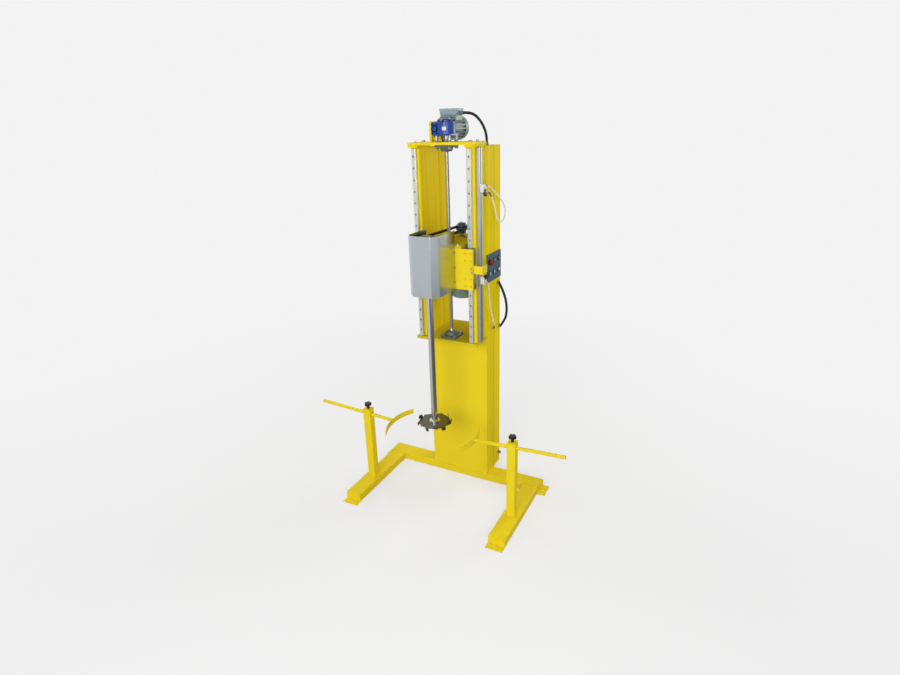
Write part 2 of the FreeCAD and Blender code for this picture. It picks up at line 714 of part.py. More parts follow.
def gearbox_housing():
    """Worm gear housing round the lift screw, with its worm tunnel at the left."""
    middle = GEAR_AXIS_Z
    drum = upright(GEARBOX_WHEEL_RADIUS, 0, SCREW_Y, GEARBOX_BOTTOM + GEARBOX_WALL_STEP,
                   GEARBOX_TOP - GEARBOX_WALL_STEP)
    hub = upright(GEARBOX_HUB_RADIUS, 0, SCREW_Y, GEARBOX_BOTTOM, GEARBOX_TOP)
    half = GEARBOX_FLANGE / 2
    flange = rounded(
        block(-half, half, SCREW_Y - half, SCREW_Y + half, GEARBOX_BOTTOM,
              GEARBOX_BOTTOM + GEARBOX_FLANGE_THICK),
        TUBE_CORNER, Z_AXIS)
    case = block(
        WORM_X - WORM_CASE_HALF, 0, WORM_FRONT, WORM_BACK,
        GEARBOX_BOTTOM + GEARBOX_WALL_STEP, GEARBOX_TOP - GEARBOX_WALL_STEP)
    case = rounded(case, 2 * TUBE_CORNER, Y_AXIS)
    neck = cylinder(
        LIFT_FLANGE_RADIUS - LIFT_FLANGE_THICK, Vector(WORM_X, WORM_BACK - 1, middle),
        Vector(WORM_X, LIFT_MOTOR_FRONT, middle))
    cap = cylinder(
        WORM_CASE_HALF - 4, Vector(WORM_X, WORM_FRONT - 4, middle), Vector(WORM_X, WORM_FRONT, middle))
    body = fused([drum, hub, flange, case, neck, cap])
    wheel_room = WHEEL_RADIUS + GEAR_CAVITY_GAP
    body = body.cut(upright(
        wheel_room, 0, SCREW_Y, middle - WHEEL_WIDE / 2 - GEAR_CAVITY_GAP,
        middle + WHEEL_WIDE / 2 + GEAR_CAVITY_GAP))
    body = body.cut(upright(WHEEL_HUB_RADIUS + RUNNING_GAP, 0, SCREW_Y, GEARBOX_BOTTOM - 1, GEARBOX_TOP + 1))
    body = body.cut(cylinder(
        WORM_RADIUS + GEAR_CAVITY_GAP, Vector(WORM_X, SCREW_Y - WORM_LONG / 2 - GEAR_CAVITY_GAP, middle),
        Vector(WORM_X, SCREW_Y + WORM_LONG / 2 + GEAR_CAVITY_GAP, middle)))
    return body.cut(cylinder(
        WORM_JOURNAL_RADIUS + RUNNING_GAP, Vector(WORM_X, WORM_FRONT, middle),
        Vector(WORM_X, LIFT_MOTOR_FRONT + 1, middle)))


def worm_wheel():
    """Wheel on the lift screw, with its long hollow hub."""
    rim = upright(WHEEL_RADIUS, 0, SCREW_Y, GEAR_AXIS_Z - WHEEL_WIDE / 2, GEAR_AXIS_Z + WHEEL_WIDE / 2)
    hub = upright(WHEEL_HUB_RADIUS, 0, SCREW_Y, GEAR_AXIS_Z - WHEEL_HUB_TALL / 2,
                  GEAR_AXIS_Z + WHEEL_HUB_TALL / 2)
    return fused([rim, hub]).cut(upright(SCREW_DIAMETER / 2 + FIT, 0, SCREW_Y, GEARBOX_BOTTOM, GEARBOX_TOP))


def worm_shaft():
    """Worm with its journals, driven by the lift motor's rotor."""
    middle = GEAR_AXIS_Z
    worm = cylinder(
        WORM_RADIUS, Vector(WORM_X, SCREW_Y - WORM_LONG / 2, middle),
        Vector(WORM_X, SCREW_Y + WORM_LONG / 2, middle))
    journal = cylinder(
        WORM_JOURNAL_RADIUS, Vector(WORM_X, WORM_FRONT + 1, middle),
        Vector(WORM_X, LIFT_MOTOR_BACK - LIFT_COWL_LONG, middle))
    rotor = cylinder(
        LIFT_ROTOR_RADIUS, Vector(WORM_X, LIFT_MOTOR_FRONT + LIFT_ROTOR_INSET, middle),
        Vector(WORM_X, LIFT_MOTOR_BACK - LIFT_COWL_LONG - LIFT_ROTOR_INSET, middle))
    return fused([worm, journal, rotor])


def gearbox_bracket():
    """Upright plate at the gearbox's left side, with a web that stands under the gearbox."""
    right = WORM_X - WORM_CASE_HALF
    plate = rounded(
        block(right - SIDE_BRACKET_THICK, right, WORM_FRONT + BRACKET_INSET, WORM_BACK - BRACKET_INSET,
              TOP_PLATE_TOP, GEARBOX_TOP + 1),
        TUBE_CORNER / 2, X_AXIS)
    front = WORM_FRONT + WEB_SETBACK
    web = block(right - 1, -SCREW_PASSAGE / 2, front, front + SIDE_BRACKET_THICK,
                TOP_PLATE_TOP, GEARBOX_BOTTOM - WEB_GAP)
    return fused([plate, web])


def fin_outline(radius, depth, count):
    """Closed outline of a finned motor housing about the origin."""
    points = []
    step = 2 * math.pi / count
    for i in range(count):
        for share, reach in ((0.0, radius), (0.4, radius), (0.5, radius - depth), (0.9, radius - depth)):
            angle = (i + share) * step
            points.append((reach * math.cos(angle), reach * math.sin(angle), 0))
    return points


def lift_motor_body():
    """Finned motor housing behind the gearbox and the cowl over its fan."""
    cowl_front = LIFT_MOTOR_LONG - LIFT_COWL_LONG
    fin_start = LIFT_SHIELD_FRONT + LIFT_SHIELD_THICK
    fin_radius = LIFT_MOTOR_RADIUS - LIFT_COWL_WALL
    flange = Part.makeCylinder(LIFT_FLANGE_RADIUS, fin_start)
    shield = Part.makeCylinder(
        LIFT_MOTOR_RADIUS - LIFT_SHIELD_STEP, LIFT_SHIELD_THICK, Vector(0, 0, LIFT_SHIELD_FRONT))
    fins = prism(
        fin_outline(fin_radius, LIFT_FIN_DEEP, LIFT_FIN_COUNT),
        Vector(0, 0, cowl_front - fin_start - LIFT_COWL_WALL))
    fins.translate(Vector(0, 0, fin_start))
    housing = fused([flange, shield, fins])
    room_front = LIFT_ROTOR_INSET - LIFT_ROTOR_END_GAP
    housing = housing.cut(Part.makeCylinder(
        LIFT_ROTOR_RADIUS + MOTOR_ROTOR_GAP, cowl_front - 2 * room_front, Vector(0, 0, room_front)))
    housing = housing.cut(Part.makeCylinder(WORM_JOURNAL_RADIUS + RUNNING_GAP, LIFT_MOTOR_LONG))
    cowl = turned([
        (0, cowl_front + LIFT_COWL_WALL),
        (fin_radius, cowl_front + LIFT_COWL_WALL),
        (fin_radius, cowl_front - LIFT_COWL_GRIP),
        (LIFT_MOTOR_RADIUS, cowl_front - LIFT_COWL_GRIP),
        (LIFT_MOTOR_RADIUS, LIFT_MOTOR_LONG - LIFT_COWL_EDGE),
        (LIFT_MOTOR_RADIUS - LIFT_COWL_EDGE, LIFT_MOTOR_LONG),
        (0, LIFT_MOTOR_LONG),
    ], 0, 0)
    pieces = [housing, cowl]
    for piece in pieces:
        piece.rotate(Vector(0, 0, 0), X_AXIS, -90)
        piece.translate(Vector(WORM_X, LIFT_MOTOR_FRONT, GEAR_AXIS_Z))
    saddle = lift_box_saddle()
    pieces[0] = pieces[0].fuse(saddle).removeSplitter()
    return pieces


def lift_box_saddle():
    """Flat seat on the motor for the terminal box."""
    half_wide = LIFT_FOOT_WIDE / 2
    half_deep = LIFT_FOOT_DEEP / 2
    top = GEAR_AXIS_Z + LIFT_MOTOR_RADIUS
    return block(WORM_X - half_wide, WORM_X + half_wide, LIFT_BOX_Y - half_deep, LIFT_BOX_Y + half_deep,
                 top - LIFT_FOOT_DROP, top)


def rectangle(x, y, wide, deep, z):
    """Closed rectangular wire at a height."""
    points = [Vector(x + i * wide / 2, y + j * deep / 2, z) for i, j in ((-1, -1), (1, -1), (1, 1), (-1, 1))]
    return Part.makePolygon(points + points[:1])


def lift_terminal_box():
    """Terminal box that widens upwards, and its lid."""
    bottom = GEAR_AXIS_Z + LIFT_MOTOR_RADIUS
    top = LIFT_BOX_TOP
    shoulder = bottom + LIFT_BOX_TALL * LIFT_BOX_TAPER
    foot = rectangle(WORM_X, LIFT_BOX_Y, LIFT_FOOT_WIDE, LIFT_FOOT_DEEP, bottom)
    mouth = rectangle(WORM_X, LIFT_BOX_Y, LIFT_BOX_WIDE, LIFT_BOX_DEEP, shoulder)
    rim = rectangle(WORM_X, LIFT_BOX_Y, LIFT_BOX_WIDE, LIFT_BOX_DEEP, top)
    box = Part.makeLoft([foot, mouth, rim], True, True)
    wall = 2 * LIFT_BOX_WALL
    cavity = Part.makeLoft([
        rectangle(WORM_X, LIFT_BOX_Y, LIFT_FOOT_WIDE - wall, LIFT_FOOT_DEEP - wall, bottom + LIFT_BOX_WALL),
        rectangle(WORM_X, LIFT_BOX_Y, LIFT_BOX_WIDE - wall, LIFT_BOX_DEEP - wall, top + 1),
    ], True, True)
    half_wide = LIFT_BOX_WIDE / 2 + LIFT_LID_LIP
    half_deep = LIFT_BOX_DEEP / 2 + LIFT_LID_LIP
    lid = rounded(
        block(WORM_X - half_wide, WORM_X + half_wide, LIFT_BOX_Y - half_deep, LIFT_BOX_Y + half_deep,
              top, LIFT_LID_TOP),
        TUBE_CORNER, Z_AXIS)
    return [box.cut(cavity), lid]


# Carriage


def carriage_plate():
    """Front plate of the carriage, bolted to the four blocks."""
    half = CARRIAGE_WIDTH / 2
    plate = block(-half, half, PLATE_FRONT, PLATE_BACK, CARRIAGE_BOTTOM, CARRIAGE_TOP)
    return plate.makeChamfer(PLATE_EDGE, edges_along(plate, Y_AXIS))


def motor_plate():
    """Shelf of the carriage that reaches back through the column, on two ribs."""
    half = MOTOR_PLATE_WIDTH / 2
    plate = block(-half, half, PLATE_FRONT, MOTOR_PLATE_BACK, CARRIAGE_TOP, MOTOR_PLATE_TOP)
    pieces = [plate]
    for side in (-1, 1):
        outer = side * (half - RIB_INSET)
        outline = [
            (outer, PLATE_BACK, CARRIAGE_BOTTOM + RIB_LOWER_GAP),
            (outer, PLATE_BACK, CARRIAGE_TOP),
            (outer, MOTOR_PLATE_BACK - RIB_INSET, CARRIAGE_TOP),
            (outer, MOTOR_PLATE_BACK - RIB_INSET, CARRIAGE_TOP - RIB_END_TALL),
            (outer, PLATE_BACK + RIB_LOWER_GAP, CARRIAGE_BOTTOM + RIB_LOWER_GAP),
        ]
        pieces.append(prism(outline, Vector(-side * RIB_THICK, 0, 0)))
    whole = fused(pieces)
    whole = whole.cut(upright(MOTOR_SHAFT_DIAMETER, 0, MOTOR_Y, CARRIAGE_TOP - 1, MOTOR_PLATE_TOP + 1))
    return whole.cut(upright(SCREW_DIAMETER / 2 + 3, 0, SCREW_Y, CARRIAGE_TOP - 1, MOTOR_PLATE_TOP + 1))


def switch_dog():
    """Bent plate at the carriage's right edge that trips the limit switches."""
    inner = CARRIAGE_WIDTH / 2 - DOG_GRIP
    front = block(inner, DOG_OUT, PLATE_BACK, PLATE_BACK + DOG_SHEET, DOG_BOTTOM, DOG_BOTTOM + DOG_TALL)
    side = block(DOG_OUT - DOG_SHEET, DOG_OUT, PLATE_BACK, DOG_BACK, DOG_BOTTOM, DOG_BOTTOM + DOG_TALL)
    dog = fused([front, side])
    corners = [edge for edge in edges_along(dog, Z_AXIS) if edge.Vertexes[0].X > DOG_OUT - 1]
    bend = min(corners, key=lambda edge: edge.Vertexes[0].Y)
    return dog.makeFillet(DOG_SHEET, [bend])


# Main motor

def main_motor_body():
    """Finned housing of the main motor, which hangs by its top flange."""
    core = MOTOR_RADIUS - MOTOR_FIN_DEEP
    fin_top = MOTOR_FIN_TOP
    outline = fin_outline(MOTOR_RADIUS - 1, MOTOR_FIN_DEEP, MOTOR_FIN_COUNT)
    fins = prism(outline, Vector(0, 0, fin_top - COWL_TOP))
    fins.translate(Vector(0, MOTOR_Y, COWL_TOP))
    flange = turned([
        (0, COWL_TOP - MOTOR_COWL_GRIP),
        (core, COWL_TOP - MOTOR_COWL_GRIP),
        (core, fin_top),
        (MOTOR_RADIUS, fin_top),
        (MOTOR_FLANGE_RADIUS, CARRIAGE_TOP - MOTOR_FLANGE_THICK),
        (MOTOR_FLANGE_RADIUS, CARRIAGE_TOP),
        (0, CARRIAGE_TOP),
    ], 0, MOTOR_Y)
    half = MOTOR_BOX_WIDE / 2 - TUBE_CORNER
    low = MOTOR_BOX_TOP - MOTOR_BOX_TALL + TUBE_CORNER
    seat = block(-half, half, MOTOR_Y + core - 10, MOTOR_SEAT_BACK, low, MOTOR_BOX_TOP - TUBE_CORNER)
    body = fused([fins, flange, seat])
    body = body.cut(upright(MOTOR_BORE_RADIUS, 0, MOTOR_Y, MOTOR_BORE_BOTTOM, MOTOR_BORE_TOP))
    body = body.cut(upright(
        MOTOR_SHAFT_DIAMETER / 2 + RUNNING_GAP, 0, MOTOR_Y, COWL_TOP - MOTOR_COWL_GRIP - 1, CARRIAGE_TOP + 1))
    return body


def main_motor_box():
    """Terminal box on the back of the main motor, and its lid."""
    half = MOTOR_BOX_WIDE / 2
    top = MOTOR_BOX_TOP
    back = MOTOR_SEAT_BACK + MOTOR_BOX_DEEP
    box = rounded(block(-half, half, MOTOR_SEAT_BACK, back, top - MOTOR_BOX_TALL, top), TUBE_CORNER, Y_AXIS)
    wall = LIFT_BOX_WALL
    low = top - MOTOR_BOX_TALL + wall
    box = box.cut(block(-half + wall, half - wall, MOTOR_SEAT_BACK + wall, back + 1, low, top - wall))
    lid = rounded(
        block(-half - 1, half + 1, back, back + MOTOR_LID_THICK, top - MOTOR_BOX_TALL - 1, top + 1),
        TUBE_CORNER, Y_AXIS)
    return [box, lid]


def main_motor_cowl():
    """Sheet cowl over the fan, with curved air slots in its floor."""
    inner = MOTOR_RADIUS + RUNNING_GAP
    outer = inner + COWL_WALL
    cowl = turned([
        (0, MOTOR_BOTTOM),
        (outer - 12, MOTOR_BOTTOM),
        (outer, MOTOR_BOTTOM + 10),
        (outer, COWL_TOP + MOTOR_COWL_GRIP),
        (inner, COWL_TOP + MOTOR_COWL_GRIP),
        (inner, MOTOR_BOTTOM + 11),
        (inner - 11, MOTOR_BOTTOM + COWL_WALL),
        (0, MOTOR_BOTTOM + COWL_WALL),
    ], 0, MOTOR_Y)
    for i in range(COWL_SLOT_COUNT):
        slot = block(COWL_HUB_RADIUS, FAN_RADIUS, -COWL_SLOT_WIDE / 2, COWL_SLOT_WIDE / 2,
                     MOTOR_BOTTOM - 1, MOTOR_BOTTOM + COWL_WALL + 1)
        slot.rotate(Vector(0, 0, 0), Z_AXIS, 360 / COWL_SLOT_COUNT * (i + 0.5))
        slot.translate(Vector(0, MOTOR_Y, 0))
        cowl = cowl.cut(slot)
    core = upright(MOTOR_RADIUS - MOTOR_FIN_DEEP + 1, 0, MOTOR_Y, COWL_TOP - 4, COWL_TOP)
    seat = upright(inner, 0, MOTOR_Y, COWL_TOP - 4, COWL_TOP).cut(core)
    return fused([cowl, seat])


def motor_shaft():
    """Motor shaft with its rotor, and the fan at its lower end."""
    radius = MOTOR_SHAFT_DIAMETER / 2
    fan_bottom = MOTOR_BOTTOM + COWL_WALL + 8
    shaft = upright(radius, 0, MOTOR_Y, fan_bottom, PULLEY_TOP)
    rotor = upright(MOTOR_BORE_RADIUS - MOTOR_ROTOR_GAP, 0, MOTOR_Y,
                    MOTOR_BORE_BOTTOM + ROTOR_END_GAP, MOTOR_BORE_TOP - ROTOR_END_GAP)
    fan = ring(FAN_RADIUS, radius + FIT, 0, MOTOR_Y, fan_bottom + FAN_BLADE_TALL,
               fan_bottom + FAN_BLADE_TALL + FAN_THICK)
    boss = ring(COWL_HUB_RADIUS + 4, radius + FIT, 0, MOTOR_Y, fan_bottom, fan_bottom + FAN_BLADE_TALL)
    pieces = [fan, boss]
    for i in range(FAN_BLADE_COUNT):
        blade = block(COWL_HUB_RADIUS, FAN_RADIUS - 2, -FAN_THICK / 2, FAN_THICK / 2,
                      fan_bottom, fan_bottom + FAN_BLADE_TALL)
        blade.rotate(Vector(0, 0, 0), Z_AXIS, 360 / FAN_BLADE_COUNT * i)
        blade.translate(Vector(0, MOTOR_Y, 0))
        pieces.append(blade)
    return [fused([shaft, rotor]), fused(pieces)]


# Belt drive

def grooved_pulley(radius, bore, x, y, hub_down):
    """Pulley with one V groove, a web and a hub."""
    mouth = BELT_WIDE / 2 + RUNNING_GAP
    floor_half = BELT_INNER_WIDE / 2 - RUNNING_GAP
    floor = radius - BELT_THICK - 1.5
    inner = max(radius - PULLEY_RIM_DEEP, bore + 1)
    rim = turned([
        (inner, PULLEY_BOTTOM),
        (radius, PULLEY_BOTTOM),
        (radius, BELT_HEIGHT - mouth),
        (floor, BELT_HEIGHT - floor_half),
        (floor, BELT_HEIGHT + floor_half),
        (radius, BELT_HEIGHT + mouth),
        (radius, PULLEY_TOP),
        (inner, PULLEY_TOP),
    ], x, y)
    web = upright(inner + 1, x, y, BELT_HEIGHT - PULLEY_WEB_THICK / 2, BELT_HEIGHT + PULLEY_WEB_THICK / 2)
    hub = upright(PULLEY_HUB_RADIUS, x, y, hub_down, PULLEY_BOTTOM + 1)
    core = upright(min(floor, PULLEY_HUB_RADIUS), x, y, PULLEY_BOTTOM, PULLEY_TOP)
    pulley = fused([rim, web, hub, core])
    return pulley.cut(upright(bore, x, y, hub_down - 1, PULLEY_TOP + 1))


def spindle_pulley():
    """Large pulley on top of the mixing shaft."""
    bore = SHAFT_TOP_DIAMETER / 2 + FIT
    return grooved_pulley(SPINDLE_PULLEY_RADIUS, bore, 0, SPINDLE_Y, SPINDLE_HUB_BOTTOM)


def motor_pulley():
    """Small pulley on the motor shaft."""
    low = PULLEY_TOP - PULLEY_HUB_TALL
    return grooved_pulley(MOTOR_PULLEY_RADIUS, MOTOR_SHAFT_DIAMETER / 2 + FIT, 0, MOTOR_Y, low)


def drive_belt():
    """V-belt round both pulleys."""
    large = BELT_RADIUS
    small = MOTOR_PULLEY_RADIUS + BELT_PROUD
    centres = MOTOR_Y - SPINDLE_Y
    lean = math.asin((large - small) / centres)

    def rim_point(radius, angle, y):
        return Vector(radius * math.cos(angle), y + radius * math.sin(angle), BELT_HEIGHT)

    big_right = rim_point(large, lean, SPINDLE_Y)
    big_left = rim_point(large, math.pi - lean, SPINDLE_Y)
    small_right = rim_point(small, lean, MOTOR_Y)
    small_left = rim_point(small, math.pi - lean, MOTOR_Y)
    path = Part.Wire([
        Part.LineSegment(big_right, small_right).toShape(),
        Part.Arc(small_right, rim_point(small, math.pi / 2, MOTOR_Y), small_left).toShape(),
        Part.LineSegment(small_left, big_left).toShape(),
        Part.Arc(big_left, rim_point(large, -math.pi / 2, SPINDLE_Y), big_right).toShape(),
    ])
    across = Vector(math.cos(lean), math.sin(lean), 0)
    corners = [
        big_right + Z_AXIS * (BELT_WIDE / 2),
        big_right - Z_AXIS * (BELT_WIDE / 2),
        big_right - across * BELT_THICK - Z_AXIS * (BELT_INNER_WIDE / 2),
        big_right - across * BELT_THICK + Z_AXIS * (BELT_INNER_WIDE / 2),
    ]
    section = Part.makePolygon(corners + corners[:1])
    return path.makePipeShell([section], True, True)


# Spindle

def spindle_housing():
    """Bearing tube on two arms and a thick back plate, with its bearing caps."""
    middle_y = SPINDLE_Y
    seat = BEARING_OUTER_DIAMETER / 2
    tube = upright(HOUSING_RADIUS, 0, middle_y, HOUSING_BOTTOM, HOUSING_TOP)
    back_bottom = (HOUSING_BOTTOM + HOUSING_TOP - HOUSING_BACK_TALL) / 2 - HOUSING_ARM_THICK
    half = GUARD_IN
    back_face = PLATE_FRONT - HOUSING_BACK_THICK
    back = block(-half, half, back_face, PLATE_FRONT, back_bottom, back_bottom + HOUSING_BACK_TALL)
    pieces = [back, tube]
    for low in (back_bottom + 2 * HOUSING_ARM_THICK, back_bottom + HOUSING_BACK_TALL - 3 * HOUSING_ARM_THICK):
        outline = [
            (-half + HOUSING_ARM_INSET, back_face, low),
            (half - HOUSING_ARM_INSET, back_face, low),
            (HOUSING_RADIUS - 4, middle_y, low),
            (-HOUSING_RADIUS + 4, middle_y, low),
        ]
        pieces.append(prism(outline, Vector(0, 0, HOUSING_ARM_THICK)))
    housing = fused(pieces)
    housing = housing.cut(upright(seat - 5, 0, middle_y, HOUSING_BOTTOM - 1, HOUSING_TOP + 1))
    depth = BEARING_WIDE + CAP_THICK
    housing = housing.cut(upright(seat + FIT, 0, middle_y, HOUSING_BOTTOM - 1, HOUSING_BOTTOM + depth))
    housing = housing.cut(upright(seat + FIT, 0, middle_y, HOUSING_TOP - depth, HOUSING_TOP + 1))
    lower = turned([
        (SHAFT_DIAMETER / 2 + RUNNING_GAP, HOUSING_BOTTOM - CAP_THICK),
        (CAP_FLANGE_RADIUS, HOUSING_BOTTOM - CAP_THICK),
        (CAP_FLANGE_RADIUS, HOUSING_BOTTOM),
        (seat, HOUSING_BOTTOM),
        (seat, HOUSING_BOTTOM + CAP_THICK),
        (SHAFT_DIAMETER / 2 + RUNNING_GAP, HOUSING_BOTTOM + CAP_THICK),
    ], 0, middle_y)
    upper = lower.mirror(Vector(0, 0, (HOUSING_BOTTOM + HOUSING_TOP) / 2), Z_AXIS)
    return [housing, lower, upper]


def spindle_bearing(low):
    """Sealed ball bearing: its outer ring with the seals, and its inner ring."""
    outer = BEARING_OUTER_DIAMETER / 2
    inner = SHAFT_DIAMETER / 2 + FIT
    high = low + BEARING_WIDE
    shield_out = outer - BEARING_RING_THICK
    shield_in = inner + BEARING_RING_THICK
    sealed = turned([
        (outer, low),
        (outer, high),
        (shield_out, high),
        (shield_out, high - BEARING_SHIELD_INSET),
        (shield_in + RUNNING_GAP, high - BEARING_SHIELD_INSET),
        (shield_in + RUNNING_GAP, low + BEARING_SHIELD_INSET),
        (shield_out, low + BEARING_SHIELD_INSET),
        (shield_out, low),
    ], 0, SPINDLE_Y)
    return [sealed, ring(shield_in, inner, 0, SPINDLE_Y, low, high)]


def spindle_bearings():
    """Two bearings in the spindle housing."""
    lower = spindle_bearing(HOUSING_BOTTOM + CAP_THICK)
    return lower + spindle_bearing(HOUSING_TOP - CAP_THICK - BEARING_WIDE)


def mixing_shaft():
    """Stepped shaft from the pulley down to the disc, and the nut on its top."""
    radius = SHAFT_DIAMETER / 2
    thread = SHAFT_THREAD_DIAMETER / 2
    inset = CAP_THICK + BEARING_WIDE
    disc_top = DISC_HEIGHT + DISC_THICK / 2
    disc_bottom = DISC_HEIGHT - DISC_THICK / 2
    foot = disc_bottom - DISC_WASHER_THICK - DISC_NUT_TALL
    shaft = turned([
        (0, foot),
        (thread, foot),
        (thread, disc_top),
        (SHAFT_FOOT_FLANGE / 2, disc_top),
        (SHAFT_FOOT_FLANGE / 2, disc_top + SHAFT_FOOT_THICK),
        (radius, disc_top + SHAFT_FOOT_THICK + 4),
        (radius, HOUSING_BOTTOM + inset),
        (SHAFT_COLLAR_DIAMETER / 2, HOUSING_BOTTOM + inset),
        (SHAFT_COLLAR_DIAMETER / 2, HOUSING_TOP - inset),
        (radius, HOUSING_TOP - inset),
        (radius, SPINDLE_HUB_BOTTOM),
        (SHAFT_TOP_DIAMETER / 2, SPINDLE_HUB_BOTTOM),
        (SHAFT_TOP_DIAMETER / 2, PULLEY_TOP),
        (thread, PULLEY_TOP),
        (thread, PULLEY_TOP + SHAFT_NUT_TALL),
        (0, PULLEY_TOP + SHAFT_NUT_TALL),
    ], 0, SPINDLE_Y)
    nut = hexagon(1.5 * SHAFT_THREAD_DIAMETER, 0, SPINDLE_Y, PULLEY_TOP, PULLEY_TOP + SHAFT_NUT_TALL)
    nut = nut.cut(upright(thread + FIT, 0, SPINDLE_Y, PULLEY_TOP - 1, PULLEY_TOP + SHAFT_NUT_TALL + 1))
    return [shaft, nut]


# Mixing disc

def mixing_disc():
    """Toothed disc, its teeth bent up and down by turns, with its washer and nut."""
    low = DISC_HEIGHT - DISC_THICK / 2
    plate = upright(DISC_RADIUS, 0, 0, low, low + DISC_THICK)
    pieces = [plate]
    for i in range(TOOTH_COUNT):
        rise = TOOTH_TALL if i % 2 == 0 else -TOOTH_TALL
        half = TOOTH_LONG / 2
        start = DISC_HEIGHT - math.copysign(DISC_THICK / 2, rise)
        outline = [
            (-TOOTH_THICK / 2, -half, start),
            (-TOOTH_THICK / 2, half, start),
            (-TOOTH_THICK / 2, half - TOOTH_THICK, start + rise),
            (-TOOTH_THICK / 2, -half + 2 * TOOTH_THICK, start + rise),
        ]
        tooth = prism(outline, Vector(TOOTH_THICK, 0, 0))
        tooth.rotate(Vector(0, 0, 0), Z_AXIS, -TOOTH_TOE)
        tooth.translate(Vector(TOOTH_RADIUS, 0, 0))
        tooth.rotate(Vector(0, 0, 0), Z_AXIS, 360 / TOOTH_COUNT * i)
        pieces.append(tooth)
    disc = fused(pieces)
    disc = disc.cut(upright(SHAFT_THREAD_DIAMETER / 2 + FIT, 0, 0, low - 1, low + DISC_THICK + 1))
    disc.translate(Vector(0, SPINDLE_Y, 0))
    bore = SHAFT_THREAD_DIAMETER / 2 + FIT
    washer = ring(DISC_WASHER_DIAMETER / 2, bore, 0, SPINDLE_Y, low - DISC_WASHER_THICK, low)
    bottom = low - DISC_WASHER_THICK - DISC_NUT_TALL
    nut = hexagon(1.5 * SHAFT_THREAD_DIAMETER, 0, SPINDLE_Y, bottom, low - DISC_WASHER_THICK)
    nut = nut.cut(upright(bore, 0, SPINDLE_Y, bottom - 1, low))
    return [disc, washer, nut]


# Belt guard

def belt_guard():
    """Folded stainless guard round the spindle, open at the top, bottom and back."""
    def outline(inset):
        half = GUARD_OUT - inset
        front = GUARD_FRONT + inset
        cut = GUARD_CHAMFER - inset * math.tan(math.pi / 8)
        return [
            (half, PLATE_FRONT),
            (half, front + cut),
            (half - cut, front),
            (-half + cut, front),
            (-half, front + cut),
            (-half, PLATE_FRONT),
        ]

    points = outline(0) + list(reversed(outline(GUARD_SHEET)))
    return prism([(x, y, GUARD_BOTTOM) for x, y in points], Vector(0, 0, GUARD_TOP - GUARD_BOTTOM))


# Limit switches

def switch_profile():
    """Slotted strip beside the right bar that the switches slide on."""
    bottom = SHELF_TOP + PROFILE_END_GAP
    top = COLUMN_TOP - PROFILE_END_GAP
    front = PROFILE_BACK - PROFILE_DEEP
    strip = block(BAR_OUT, PROFILE_OUT, front, PROFILE_BACK, bottom, top)
    middle = PROFILE_BACK - PROFILE_DEEP / 2
    half = PROFILE_SLOT_WIDE / 2
    floor = PROFILE_OUT - PROFILE_SLOT_DEEP
    step = PROFILE_OUT - PROFILE_SLOT_DEEP / 2
    slot = block(floor, PROFILE_OUT + 1, middle - half, middle + half, bottom - 1, top + 1)
    undercut = block(floor, step, middle - 2 * half, middle + 2 * half, bottom - 1, top + 1)
    return strip.cut(slot).cut(undercut)


def switch_body(roller_height, up):
    """Switch case whose lever shaft lies up or down from its roller."""
    pivot = roller_height + up * LEVER_SHIFT_TALL
    near = pivot - up * SWITCH_TALL / 4
    far = near + up * SWITCH_TALL
    low, high = min(near, far), max(near, far)
    case = rounded(
        block(PROFILE_OUT, SWITCH_FACE, PROFILE_BACK - SWITCH_DEEP, PROFILE_BACK, low, high), 3, X_AXIS)
    face = Vector(SWITCH_FACE, LEVER_Y, pivot)
    return case.cut(cylinder(LEVER_HUB_DIAMETER / 4 + RUNNING_GAP, face - X_AXIS * 8, face + X_AXIS))


def limit_switches():
    """Upper and lower switch cases."""
    return [switch_body(UPPER_ROLLER_HEIGHT, 1), switch_body(LOWER_ROLLER_HEIGHT, -1)]


def switch_lever(roller_height, up):
    """Lever with its shaft and roller pin, and the roller on the pin."""
    pivot = Vector(SWITCH_FACE + SLIDE_GAP, LEVER_Y, roller_height + up * LEVER_SHIFT_TALL)
    roller = Vector(pivot.x, ROLLER_Y, roller_height)
    hub = cylinder(LEVER_HUB_DIAMETER / 2, pivot, pivot + X_AXIS * LEVER_THICK)
    shaft = cylinder(LEVER_HUB_DIAMETER / 4, pivot - X_AXIS * 7, pivot + X_AXIS)
    end = cylinder(LEVER_HUB_DIAMETER / 3, roller, roller + X_AXIS * LEVER_THICK)
    run = roller - pivot
    side = run.cross(X_AXIS).normalize() * (LEVER_HUB_DIAMETER / 3)
    arm = prism([pivot + side, roller + side, roller - side, pivot - side], X_AXIS * LEVER_THICK)
    start = ROLLER_X - ROLLER_WIDE / 2
    pin_end = Vector(start + ROLLER_WIDE + 1, roller.y, roller.z)
    pin = cylinder(ROLLER_PIN_DIAMETER / 2, roller + X_AXIS, pin_end)
    lever = fused([hub, shaft, end, arm, pin])
    wheel = cylinder(ROLLER_DIAMETER / 2, Vector(start, roller.y, roller.z),
                     Vector(start + ROLLER_WIDE, roller.y, roller.z))
    bore = cylinder(ROLLER_PIN_DIAMETER / 2 + FIT, Vector(start - 1, roller.y, roller.z),
                    Vector(start + ROLLER_WIDE + 1, roller.y, roller.z))
    return [lever, wheel.cut(bore)]


# Drum clamps

